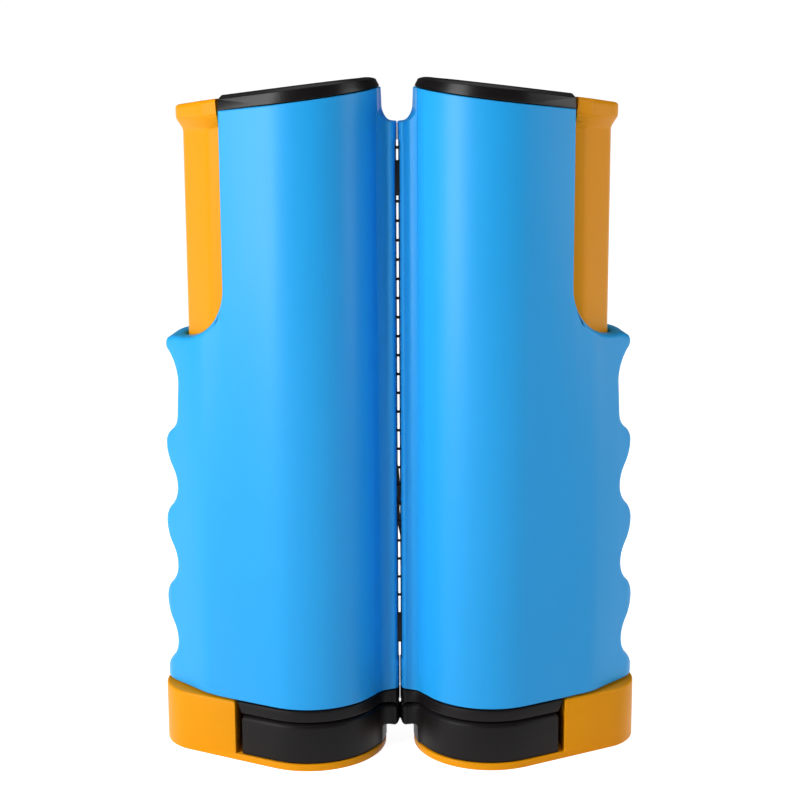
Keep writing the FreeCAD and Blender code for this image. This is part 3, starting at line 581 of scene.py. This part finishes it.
def own_axes(side, point):
    """Place of a world point in a post's own axes."""
    toe = math.radians(TOE_ANGLE)
    x = (point[0] if side == "left" else -point[0]) + POST_AXIS
    return x * math.cos(toe) - point[1] * math.sin(toe), x * math.sin(toe) + point[1] * math.cos(toe)


def post_place(side, u, v, z):
    """World place of a point given in a post's own axes, u towards the lip and v to the back."""
    toe = math.radians(TOE_ANGLE)
    x = u * math.cos(toe) + v * math.sin(toe) - POST_AXIS
    y = v * math.cos(toe) - u * math.sin(toe)
    return Vector((x if side == "left" else -x, y, z))


def world_shift(side, along):
    """World shift of a point that moves along a post's own u axis."""
    toe = math.radians(TOE_ANGLE)
    return Vector((along * math.cos(toe) * (1 if side == "left" else -1), -along * math.sin(toe), 0))


def world_across(side, across):
    """World shift of a point that moves along a post's own v axis."""
    toe = math.radians(TOE_ANGLE)
    return Vector((across * math.sin(toe) * (1 if side == "left" else -1), across * math.cos(toe), 0))


def fit_lip(piece, side, window_fit, end_fit):
    """Slants a lip towards its end, and brings the end nearer to the other post, most off the net's window."""
    low, high = NET_WINDOW
    shape = bmesh.new()
    shape.from_mesh(piece.data)
    for height in (low - WINDOW_EDGE, low, high, high + WINDOW_EDGE):
        near = [face for face in shape.faces if all(own_axes(side, vert.co)[0] > LIP_START for vert in face.verts)]
        parts = {edge for face in near for edge in face.edges} | {vert for face in near for vert in face.verts}
        bmesh.ops.bisect_plane(shape, geom=near + list(parts), plane_co=(0, 0, height), plane_no=(0, 0, 1))
    for vert in shape.verts:
        along, across = own_axes(side, vert.co)
        if math.hypot(along, across) > ROOT_DEPTH and abs(across) > SLOT_HALF:
            new_along, new_across = slanted(along, abs(across))
            fade = share_between(vert.co.z, SLANT_FADE)
            vert.co += world_shift(side, (new_along - along) * fade)
            vert.co += world_across(side, math.copysign((new_across - abs(across)) * fade, across))
        if along > LIP_FLAT and abs(vert.co.z - SEAM_HEIGHT) < LEVEL:
            vert.co.z += LIP_RISE * min((along - LIP_FLAT) / (LIP_END - LIP_FLAT), 1)
        share = (along - LIP_START) / (LIP_END - LIP_START)
        if share > 0:
            fit = window_fit if low - LEVEL < vert.co.z < high + LEVEL else end_fit
            vert.co += world_shift(side, min(share, 1) * fit)
            if vert.co.z < SEAM_HEIGHT - FLUSH_DROP and share > FLUSH_SHARE and abs(across) < LIP_HALF / 2:
                vert.co += world_shift(side, LIP_END - along)
    shape.to_mesh(piece.data)
    shape.free()


def slanted(along, across):
    """Place of a point of the lip's skin after the lip is slanted and its root is filled with a wide round."""
    ahead, aside = along - FILLET_CENTRE[0], across - FILLET_CENTRE[1]
    reach = math.hypot(ahead, aside)
    turn = math.degrees(math.atan2(-aside, -ahead))
    if FILLET_TURN[0] < turn < FILLET_TURN[1] and along < LIP_START:
        depth = 0
        while not in_frame_plan(FILLET_CENTRE[0] + ahead / reach * depth, FILLET_CENTRE[1] + aside / reach * depth):
            depth += FILLET_STEP
        shift = (FILLET_RADIUS - depth) / reach
        return along + ahead * shift, across + aside * shift
    if along > SLANT_START:
        share = min((across - SLOT_HALF) / (LIP_HALF - SLOT_HALF), 1)
        return along, across + (LIP_ROOT_HALF - (along - LIP_ROOT) * LIP_SLANT - LIP_HALF) * share
    return along, across


def in_frame_plan(along, across):
    """Whether a place lies inside the frame's barrel or lip."""
    if math.hypot(along, across) < BARREL or across < LIP_HALF:
        return True
    beside, ahead = LIP_HALF + ROOT_RADIUS - across, ROOT_CENTRE - along
    return 0 < ahead < ROOT_RADIUS and beside > 0 and math.hypot(ahead, beside) > ROOT_RADIUS


def depth_in_plan(u, v):
    """How far a point lies inside the housing's outline."""
    v = abs(v)
    flank, facet = math.radians(FLANK_ANGLE), math.radians(FACET_ANGLE)
    if u > -BARREL * math.sin(flank):
        return BARREL - math.hypot(u, v)
    along_flank = BARREL - (-u * math.sin(flank) + v * math.cos(flank))
    ahead = u - NOSE_CENTRE
    if ahead * math.cos(facet) + v * math.sin(facet) < 0:
        return NOSE_RADIUS - math.hypot(ahead, v)
    along_facet = NOSE_RADIUS - (-ahead * math.sin(facet) + v * math.cos(facet))
    return min(along_flank, along_facet)


def lean(side, point):
    """Height of a point over the slanted plane of the shells' top edge."""
    return point[2] - BODY_TOP - TOP_SLOPE * own_axes(side, point)[0]


def report(operator, done):
    """What an operator returns; it fails where nothing was made."""
    if not done:
        raise RuntimeError(operator.bl_label + " made nothing")
    return {"FINISHED"}


class NETPOST_OT_housing(Operator):
    """Shells with soft grooves and rim, and fine seams"""

    bl_idname = "netpost.housing"
    bl_label = "Housing shells"

    def execute(self, context):
        sizes = context.scene.netpost_sizes
        made = []
        for side in SIDES:

            def shell_width(middle, _edge):
                """Rounding of a shell's edge."""
                u, v = own_axes(side, middle)
                if abs(v) < SEAM_REACH or u > FINE_SHELL or depth_in_plan(u, v) > SKIN_DEPTH:
                    return sizes.seam_edge
                if u < GRIP_START and middle.z < RIM_END:
                    return sizes.grip_edge
                return sizes.housing_edge

            for half in ("front", "rear"):
                node = "%s_%s_shell" % (side, half)
                piece = rounded_copy(node, node.replace("shell", "housing"), sizes.grip_edge, width_at=shell_width)
                fit_lip(piece, side, WINDOW_FIT, END_FIT)
                made.append(settle(piece, node))
            made.append(rim_collar(side))
        return report(self, made)


def jaw_width(side, sizes):
    """Gives an edge's own width on a base cap or a pad, fine near the lip's end."""
    return lambda middle, _edge: sizes.seam_edge if own_axes(side, middle)[0] > FINE_LIP else sizes.jaw_edge


def tilt_cap(piece, side, seam_gap):
    """Tilts a cap's top to the front as far as the frame's box lets it, and lifts its rim off the shells."""
    for vert in piece.data.vertices:
        along, across = own_axes(side, vert.co)
        height = lean(side, vert.co)
        if height > CAP_FOOT:
            rise = -CAP_TILT * across * min(height / CAP_HEIGHT, 1)
            vert.co.z = min(vert.co.z + rise, max(CAD_BOX[1][2] - BOX_MARGIN, vert.co.z))
        elif abs(height) < LEVEL and depth_in_plan(along, across) < CAP_RIM:
            vert.co.z += seam_gap


class NETPOST_OT_caps(Operator):
    """Top caps and base caps"""

    bl_idname = "netpost.caps"
    bl_label = "Caps"

    def execute(self, context):
        sizes = context.scene.netpost_sizes
        made = []
        for side in SIDES:

            def cap_width(middle, _edge):
                """Rounding of a top cap's edge."""
                return sizes.cap_edge if lean(side, middle) > CAP_HEIGHT - LEVEL else sizes.seam_edge

            node = side + "_top_cap"
            piece = rounded_copy(node, node + "_cover", sizes.cap_edge, width_at=cap_width)
            tilt_cap(piece, side, sizes.seam_gap)
            made.append(settle(piece, node))
            node = side + "_base_cap"
            piece = rounded_copy(node, node + "_cover", sizes.jaw_edge, width_at=jaw_width(side, sizes))
            fit_lip(piece, side, END_FIT, END_FIT)
            for vert in piece.data.vertices:
                height = vert.co.z - SEAM_HEIGHT
                if SEAM_BAND[0] < height < SEAM_BAND[1] and depth_in_plan(*own_axes(side, vert.co)) < BASE_RIM:
                    vert.co.z -= sizes.seam_gap
            made.append(settle(piece, node))
        return report(self, made)


class NETPOST_OT_jaws(Operator):
    """Thumb levers, jaw brackets and pads"""

    bl_idname = "netpost.jaws"
    bl_label = "Levers and jaws"

    def execute(self, context):
        sizes = context.scene.netpost_sizes
        made = []
        for side in SIDES:

            def lever_width(middle, edge):
                """Rounding of a lever's edge."""
                upright = abs((edge.verts[0].co - edge.verts[1].co).normalized().z) > 0.7
                if own_axes(side, middle)[0] > LEVER_REAR:
                    return sizes.lever_edge / 2
                if HEAD_SOFT[0] < lean(side, middle) < HEAD_SOFT[1] and not upright:
                    return 0
                if not edge.is_convex:
                    return sizes.lever_edge / 2
                return sizes.head_edge if upright or middle.z > HEAD_BASE else sizes.lever_edge

            node = side + "_thumb_lever"
            piece = rounded_copy(node, node + "_moulding", sizes.head_edge, segments=4, width_at=lever_width)
            soften_head(piece, side)
            made.append(settle(piece, node, 40))
            node = side + "_jaw_bracket"
            piece = rounded_copy(node, node + "_moulding", sizes.lever_edge)
            made.append(settle(piece, node))
            node = side + "_jaw_pad"
            piece = rounded_copy(node, node + "_moulding", sizes.jaw_edge, width_at=jaw_width(side, sizes))
            fit_lip(piece, side, PAD_FIT, PAD_FIT)
            made.append(settle(piece, node))
        return report(self, made)


def lever_offset(along, across):
    """How far a place lies outside the lever's plan, and the way straight out from there."""
    ahead, aside = along - LEVER_NOSE, abs(across)
    sign = math.copysign(1, across)
    if -ahead > aside:
        reach = math.hypot(ahead, aside)
        return reach - LEVER_NOSE_RADIUS, (ahead / reach, sign * aside / reach)
    ways, offsets = [], []
    for turn, distance in LEVER_SIDES:
        way = (-math.cos(math.radians(turn)), math.sin(math.radians(turn)))
        ways.append(way)
        offsets.append(along * way[0] + aside * way[1] - distance)
    weights = [math.exp((offset - max(offsets)) / LEVER_BLEND) for offset in offsets]
    out = Vector((sum(w * way[0] for w, way in zip(weights, ways)), sum(w * way[1] for w, way in zip(weights, ways))))
    out.normalize()
    return max(offsets), (out.x, sign * out.y)


def soften_head(piece, side):
    """Turns the creases of the head's flare into one soft bend, and tilts the head's top to the front."""
    shape = bmesh.new()
    shape.from_mesh(piece.data)
    run = world_shift(side, -TOP_SLOPE)
    axis = -POST_AXIS if side == "left" else POST_AXIS
    for step in range(round((HEAD_SOFT[1] - HEAD_SOFT[0]) / HEAD_STEP) + 1):
        height = BODY_TOP + HEAD_SOFT[0] + HEAD_STEP * step
        bmesh.ops.bisect_plane(
            shape, geom=shape.verts[:] + shape.edges[:] + shape.faces[:], plane_co=(axis, 0, height),
            plane_no=(run.x, run.y, 1))
    skin = []
    for vert in shape.verts:
        along, across = own_axes(side, vert.co)
        height = lean(side, vert.co)
        offset, way = lever_offset(along, across)
        if height < HEAD_SOFT[0] + 0.1 * MM or offset < HEAD_SKIN or along > HEAD_REAR:
            continue
        skin.append(vert)
        if height > FRAME_FLARE[1] + 0.1 * MM:
            old = FRAME_REACH
        else:
            old = FRAME_FLARE_REACH * share_between(height, FRAME_FLARE)
        rise = share_between(height, SOFT_FLARE)
        new = HEAD_REACH * rise * rise * (3 - 2 * rise) + min(0, offset - old)
        if height < HEAD_SOFT[1] + LEVEL:
            vert.co += world_shift(side, way[0] * (new - offset)) + world_across(side, way[1] * (new - offset))
    bmesh.ops.remove_doubles(shape, verts=skin, dist=HEAD_MERGE)
    for vert in shape.verts:
        tilt = HEAD_TILT * share_between(lean(side, vert.co), TILT_START)
        vert.co.z -= tilt * own_axes(side, vert.co)[1]
    shape.to_mesh(piece.data)
    shape.free()


def rim_height(along):
    """Height of the grip's rim at a place along u."""
    ahead = along - RIM_CENTRE
    if ahead < 0:
        return RIM_HEIGHT - RIM_ROUND + math.sqrt(RIM_ROUND ** 2 - ahead ** 2)
    return RIM_HEIGHT + RIM_SWEEP - math.sqrt(RIM_SWEEP ** 2 - ahead ** 2)


def rim_collar(side):
    """Thick roll of the rim, which closes in on the lever."""
    rings = []
    for step in range(-19, 20):
        turn = math.radians(5 * step)
        way = (-math.cos(turn), math.sin(turn))

        def place(reach):
            return COLLAR_CENTRE + way[0] * reach, way[1] * reach

        inner = 0
        while lever_offset(*place(inner))[0] < COLLAR_GAP:
            inner += COLLAR_STEP
        outer = inner
        while depth_in_plan(*place(outer)) > COLLAR_INSET and place(outer)[0] > COLLAR_TIP:
            outer += COLLAR_STEP
        section = [(inner + inset, drop) for inset, drop in COLLAR_EDGE]
        section += [((inner + outer) / 2, 0), (outer, 0), (outer, COLLAR_DEPTH), (inner, COLLAR_DEPTH)]
        ring = []
        for reach, drop in section:
            along, across = place(reach)
            ring.append(post_place(side, along, across, rim_height(along) + COLLAR_LIFT - drop))
        rings.append(ring)
    piece = mesh_piece(side + "_rim_collar", *ring_skin(rings))
    face_outward(piece)
    bpy.ops.object.shade_smooth_by_angle(angle=math.radians(50))
    dress(piece, "housing_blue")
    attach(piece, side + "_post")
    return piece


def mesh_piece(name, points, faces):
    """Piece from its points and faces."""
    mesh = bpy.data.meshes.new(name)
    mesh.from_pydata(points, [], faces)
    mesh.update()
    piece = bpy.data.objects.new(name, mesh)
    bpy.context.collection.objects.link(piece)
    return piece


def ring_skin(rings):
    """Points and faces of a closed skin over rings that have as many points each."""
    count = len(rings[0])
    points = [point for ring in rings for point in ring]
    faces = []
    for start in range(0, count * (len(rings) - 1), count):
        for step in range(count):
            after = (step + 1) % count
            faces.append((start + step, start + after, start + count + after, start + count + step))
    faces.append(tuple(range(count))[::-1])
    faces.append(tuple(range(len(points) - count, len(points))))
    return points, faces


def level_rings(path, section):
    """Rings of a section that follows a level path; the section is (across, height) pairs."""
    rings = []
    for index, point in enumerate(path):
        before, after = path[max(index - 1, 0)], path[min(index + 1, len(path) - 1)]
        run = (Vector(after) - Vector(before)).normalized()
        side = Vector((-run.y, run.x))
        rings.append([(point[0] + side.x * across, point[1] + side.y * across, height) for across, height in section])
    return rings


def add_skin(points, faces, rings):
    """Appends another skin to the lists of one mesh."""
    more_points, more_faces = ring_skin(rings)
    base = len(points)
    points.extend(more_points)
    faces.extend(tuple(base + index for index in face) for face in more_faces)


def thread_section(width, height, sides=8):
    """Round section of a thread at a height."""
    turn = 2 * math.pi / sides
    return [(math.cos(turn * k) * width / 2, height + math.sin(turn * k) * width / 2) for k in range(sides)]


def tape_section(thickness, low, high):
    """Flat upright section with pointed edges."""
    soft = thickness / 2
    return [(-soft, low + soft), (0, low), (soft, low + soft), (soft, high - soft), (0, high), (-soft, high - soft)]


def net_path():
    """Level path from roll to roll, dead straight between the lips."""
    return list(HALF_PATH) + [(-x, y) for x, y in reversed(HALF_PATH)]


def eased(share):
    """Place in the fold, from 0 to 1, of what moves by this share of the pull."""
    return 0.5 - math.sin(math.asin(1 - 2 * share) / 3)


def ribbon(points, faces, run, width):
    """Appends a flat upright thread whose points all lie at one depth."""
    base = len(points)
    for x, y, z in run:
        points.extend(((x - width / 2, y, z), (x + width / 2, y, z)))
    for step in range(len(run) - 1):
        corner = base + 2 * step
        faces.append((corner, corner + 1, corner + 3, corner + 2))


class NETPOST_OT_net(Operator):
    """Net from reel to reel, with its folded meshes, and the rolls"""

    bl_idname = "netpost.net"
    bl_label = "Net"

    def execute(self, context):
        sizes = context.scene.netpost_sizes
        pull = next(joint for joint in frame["record"]["behaviour"]["joints"] if joint["name"] == "net_pull_out")
        path = net_path()
        points, faces = [], []
        heights = [TOP_CORD] + [FIRST_ROW - sizes.net_pitch * row for row in range(ROWS)]
        for height in heights:
            add_skin(points, faces, level_rings(path, thread_section(sizes.net_thread, height)))
        for low, high in (TOP_TAPE, FOOT_TAPE):
            add_skin(points, faces, level_rings(path, tape_section(sizes.net_tape, low, high)))
        stretch = mesh_piece("net_stretch", points, faces)

        # the meshes that the pull draws out lie folded in the left lip until then
        points, faces = [], []
        low, high = FOLD_SPAN
        count = round(pull["range_m"][1] / sizes.net_pitch)
        for step in range(count):
            depth = low + (high - low) * eased((step + 0.5) / count)
            ribbon(points, faces, [(FOLDED_AT, depth, FOOT_TAPE[0]), (FOLDED_AT, depth, TOP_CORD)],
                   sizes.net_thread * 0.8)
        depth = low + (high - low) * eased(CROSSING_SHARE)
        ribbon(points, faces, [(x * MM, depth, z * MM) for x, z in CROSSING], sizes.net_thread)
        meshes = mesh_piece("net_meshes", points, faces)

        dress(stretch, "net_cord")
        dress(meshes, "net_cord")
        only(stretch)
        bpy.ops.object.shade_smooth_by_angle(angle=math.radians(50))
        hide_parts("left_net_feed", "net_span", "right_net_feed")
        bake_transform(stretch)
        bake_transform(meshes)
        rolls = [wound_net(side, sizes) for side in SIDES]
        return report(self, rolls)


def wound_net(side, sizes):
    """Net wound on the reel tube, as one spiral band."""
    low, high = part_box(side + "_net_roll")
    centre_x = (low[0] + high[0]) / 2
    outer = (high[0] - low[0]) / 2 - sizes.net_tape
    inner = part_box(side + "_reel_tube")
    inner = (inner[1][0] - inner[0][0]) / 2 + sizes.net_tape
    sense = 1 if side == "left" else -1
    path = []
    for step in range(WOUND_TURNS * WOUND_STEPS + 1):
        angle = sense * 2 * math.pi * step / WOUND_STEPS
        radius = inner + (outer - inner) * step / (WOUND_TURNS * WOUND_STEPS)
        path.append((centre_x + math.cos(angle) * radius, math.sin(angle) * radius))
    section = tape_section(sizes.net_tape * WOUND_TAPES, FOOT_TAPE[0], TOP_CORD)
    piece = mesh_piece(side + "_wound_net", *ring_skin(level_rings(path, section)))
    face_outward(piece)
    return settle(piece, side + "_net_roll")


def coil(name, node, wire, turns, sides, steps):
    """Wire coil in the place of a node, with its ends closed."""
    centre, radius, low, high = coil_place(node, wire)
    select_none()
    bpy.ops.mesh.primitive_circle_add(
        vertices=sides, radius=wire / 2, location=(radius, 0, 0), rotation=(math.pi / 2, 0, 0))
    piece = bpy.context.object
    piece.name = piece.data.name = name
    bpy.ops.object.transform_apply(location=True, rotation=True, scale=True)
    rise = (high - low - wire) / turns
    apply_modifier(
        piece, "SCREW", axis="Z", screw_offset=rise, iterations=turns, steps=steps, render_steps=steps,
        use_merge_vertices=False, use_smooth_shade=True)
    only(piece)
    bpy.ops.object.mode_set(mode="EDIT")
    bpy.ops.mesh.select_all(action="DESELECT")
    bpy.ops.mesh.select_mode(type="EDGE")
    bpy.ops.mesh.select_non_manifold()
    bpy.ops.mesh.edge_face_add()
    face_outward(piece)
    piece.location = (centre[0], centre[1], low + wire / 2)
    bpy.ops.object.transform_apply(location=True, rotation=True, scale=True)
    return piece


def coil_place(node, wire):
    """Axis, radius, foot and top of a coil of this wire that fills a node's box."""
    low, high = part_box(node)
    centre = ((low[0] + high[0]) / 2, (low[1] + high[1]) / 2)
    return centre, (high[0] - low[0]) / 2 - wire / 2, low[2], high[2]


class NETPOST_OT_springs(Operator):
    """Clamp springs and return springs as wire coils"""

    bl_idname = "netpost.springs"
    bl_label = "Springs"

    def execute(self, context):
        sizes = context.scene.netpost_sizes
        made = []
        for side in SIDES:
            node = side + "_clamp_spring"
            piece = coil(side + "_clamp_coil", node, sizes.coil_wire, sizes.coil_turns, 10, 28)
            settle(piece, node, 60)
            centre, _, foot, top = coil_place(node, sizes.coil_wire)
            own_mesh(piece)
            made.append(piece)
            node = side + "_return_spring"
            wire = RETURN_WIRE * sizes.coil_wire
            _, _, foot, top = coil_place(node, wire)
            piece = coil(side + "_return_coil", node, wire, int((top - foot) / (RETURN_PITCH * wire)), 6, 18)
            made.append(settle(piece, node, 60))
        return report(self, made)


class NETPOST_OT_inner(Operator):
    """Finishes of the pieces whose shape the frame already has"""

    bl_idname = "netpost.inner"
    bl_label = "Inner pieces"

    def execute(self, context):
        for side in SIDES:
            for name in ("housing_screws", "jaw_screw"):
                node = side + "_" + name
                piece = rounded_copy(node, node.replace("screw", "cross_screw"), SCREW_EDGE, segments=2, angle=40)
                for place, facing in screw_heads(piece, side, name == "jaw_screw"):
                    cut_cross(piece, place, facing)
                settle(piece, node)
        done = []
        for node, piece in frame["nodes"].items():
            if not piece.hide_render:
                dress(piece, slot_of(node))
                done.append(piece)
        return report(self, done)


def screw_heads(piece, side, downward):
    """Middle of each screw head's outer face, and the way it faces."""
    facing = Vector((0, 0, -1)) if downward else world_across(side, 1)
    levels = {}
    for vert in piece.data.vertices:
        levels.setdefault(0 if downward else round(vert.co.z / SCREW_GAP), []).append(vert.co.copy())
    heads = []
    for points in grouped(levels):
        out = max(point.dot(facing) for point in points)
        ring = [point for point in points if out - point.dot(facing) < SCREW_FACE]
        heads.append((sum(ring, Vector()) / len(ring), facing))
    return heads


def grouped(levels):
    """Lists of points, joined where their levels are neighbours."""
    groups = []
    for level in sorted(levels):
        if groups and level - groups[-1][0] <= 1:
            groups[-1] = (level, groups[-1][1] + levels[level])
        else:
            groups.append((level, levels[level]))
    return [points for _, points in groups]


def cut_cross(piece, place, facing):
    """Cross recess in a screw's head."""
    for turn in (CROSS_TURN, CROSS_TURN + math.pi / 2):
        bpy.ops.mesh.primitive_cube_add(size=1)
        bar = bpy.context.object
        bar.scale = (CROSS[0], CROSS[1], 2 * CROSS[2])
        bar.rotation_mode = "QUATERNION"
        bar.rotation_quaternion = facing.to_track_quat("Z", "Y") @ Quaternion((0, 0, 1), turn)
        bar.location = place
        bpy.context.view_layer.update()
        apply_modifier(piece, "BOOLEAN", operation="DIFFERENCE", object=bar, solver="EXACT")
        bpy.data.objects.remove(bar, do_unlink=True)


class NETPOST_OT_stage(Operator):
    """Floor, camera, lights and surroundings"""

    bl_idname = "netpost.stage"
    bl_label = "Stage"

    def execute(self, context):
        floor()
        camera()
        lights()
        surroundings()
        context.scene.view_settings.view_transform = "Standard"
        return {"FINISHED"}


def camera():
    """Camera at the photograph's place."""
    pitch = math.radians(CAMERA_PITCH)
    place = (0, -CAMERA_DISTANCE * math.cos(pitch), CAMERA_TARGET_HEIGHT + CAMERA_DISTANCE * math.sin(pitch))
    bpy.ops.object.camera_add(location=place, rotation=(math.pi / 2 - pitch, 0, 0))
    made = bpy.context.object
    made.name = "Photo Camera"
    made.rotation_euler.rotate_axis("Z", math.radians(CAMERA_ROLL))
    made.data.lens = CAMERA_LENS
    made.data.shift_x = (PHOTO_SIZE / 2 - PHOTO_CENTRE[0]) / PHOTO_SIZE
    made.data.shift_y = (PHOTO_CENTRE[1] - PHOTO_SIZE / 2) / PHOTO_SIZE
    made.data.clip_start = 0.01
    bpy.context.scene.camera = made


def floor():
    """Plain white floor that stays white to the camera and takes a soft shadow."""
    bpy.ops.mesh.primitive_plane_add(size=30, location=(0, 0, 0))
    made = bpy.context.object
    made.name = "Floor"
    material = bpy.data.materials.new("White Floor")
    material.use_nodes = True
    tree, links = material.node_tree, material.node_tree.links
    shader = tree.nodes["Principled BSDF"]
    shader.inputs["Base Color"].default_value = (0.82, 0.82, 0.82, 1)
    shader.inputs["Roughness"].default_value = 0.9
    path = add_node(tree, "LightPath")
    seen = add_node(tree, "Math", operation="MAXIMUM")
    links.new(path.outputs["Is Camera Ray"], seen.inputs[0])
    links.new(path.outputs["Is Glossy Ray"], seen.inputs[1])
    place = add_node(tree, "TexCoord")
    away = add_node(tree, "VectorMath", operation="LENGTH")
    links.new(place.outputs["Object"], away.inputs[0])
    level = add_node(tree, "MapRange", {
        "From Min": FLOOR_DISTANCES[0], "From Max": FLOOR_DISTANCES[1],
        "To Min": FLOOR_LEVELS[0], "To Max": FLOOR_LEVELS[1]})
    links.new(away.outputs["Value"], level.inputs["Value"])
    share = add_node(tree, "Math", operation="MULTIPLY")
    links.new(seen.outputs[0], share.inputs[0])
    links.new(level.outputs["Result"], share.inputs[1])
    glow = add_node(tree, "Emission")
    links.new(share.outputs[0], glow.inputs["Strength"])
    both = add_node(tree, "AddShader")
    links.new(shader.outputs[0], both.inputs[0])
    links.new(glow.outputs[0], both.inputs[1])
    links.new(both.outputs[0], tree.nodes["Material Output"].inputs["Surface"])
    made.data.materials.append(material)


def area_light(name, place, target, width, height, power):
    """Soft box that faces a point."""
    bpy.ops.object.light_add(type="AREA", location=place)
    made = bpy.context.object
    made.name = name
    made.data.shape = "RECTANGLE"
    made.data.size = width
    made.data.size_y = height
    made.data.energy = power
    made.rotation_mode = "QUATERNION"
    made.rotation_quaternion = (Vector(target) - Vector(place)).to_track_quat("-Z", "Y")


def lights():
    """Large soft box from the left, a weaker one from the far right, and small ones above."""
    middle = (0, 0, 0.09)
    area_light("Left Soft Box", (-0.77, -0.55, 0.28), middle, 0.5, 1.0, 11.3)
    area_light("Right Soft Box", (0.96, -0.17, 0.20), middle, 0.5, 0.9, 5.0)
    area_light("Top Soft Box", (-0.1, -0.25, 0.9), middle, 0.8, 0.5, 1.4)
    area_light("Back Soft Box", (0, 0.35, 0.9), middle, 0.8, 0.5, 1.0)


def surroundings():
    """Dim, even surroundings that the camera sees as white."""
    world = bpy.data.worlds.new("White Studio")
    bpy.context.scene.world = world
    world.use_nodes = True
    tree, links = world.node_tree, world.node_tree.links
    shine = tree.nodes["Background"]
    shine.inputs["Color"].default_value = (1, 1, 1, 1)
    shine.inputs["Strength"].default_value = WORLD_STRENGTH
    seen = add_node(tree, "Background", {"Color": (1, 1, 1, 1)})
    path = add_node(tree, "LightPath")
    mix = add_node(tree, "MixShader")
    links.new(path.outputs["Is Camera Ray"], mix.inputs[0])
    links.new(shine.outputs[0], mix.inputs[1])
    links.new(seen.outputs[0], mix.inputs[2])
    links.new(mix.outputs[0], tree.nodes["World Output"].inputs["Surface"])


class NETPOST_PT_sidebar(Panel):
    """Steps of the dressing, in order"""

    bl_idname = "NETPOST_PT_sidebar"
    bl_label = "Net Posts"
    bl_space_type = "VIEW_3D"
    bl_region_type = "UI"
    bl_category = "Net Posts"

    def draw(self, context):
        for step in STEPS:
            self.layout.operator(step.bl_idname)
        for group in (context.scene.netpost_sizes, context.scene.netpost_colours):
            for name in group.__annotations__:
                self.layout.prop(group, name)


STEPS = (
    NETPOST_OT_housing, NETPOST_OT_caps, NETPOST_OT_jaws, NETPOST_OT_net, NETPOST_OT_springs, NETPOST_OT_inner,
    NETPOST_OT_stage)
CLASSES = (NetPostSizes, NetPostColours) + STEPS + (NETPOST_PT_sidebar,)


def register():
    """Registers the classes and the two property groups."""
    for entry in CLASSES:
        bpy.utils.register_class(entry)
    bpy.types.Scene.netpost_sizes = PointerProperty(type=NetPostSizes)
    bpy.types.Scene.netpost_colours = PointerProperty(type=NetPostColours)


def unregister():
    """Takes back what register did."""
    del bpy.types.Scene.netpost_colours
    del bpy.types.Scene.netpost_sizes
    for entry in reversed(CLASSES):
        bpy.utils.unregister_class(entry)


def main():
    """Runs all steps in order."""
    register()
    make_materials(bpy.context.scene.netpost_colours)
    bpy.ops.netpost.housing()
    bpy.ops.netpost.caps()
    bpy.ops.netpost.jaws()
    bpy.ops.netpost.net()
    bpy.ops.netpost.springs()
    bpy.ops.netpost.inner()
    bpy.ops.netpost.stage()


if __name__ == "__main__":
    main()
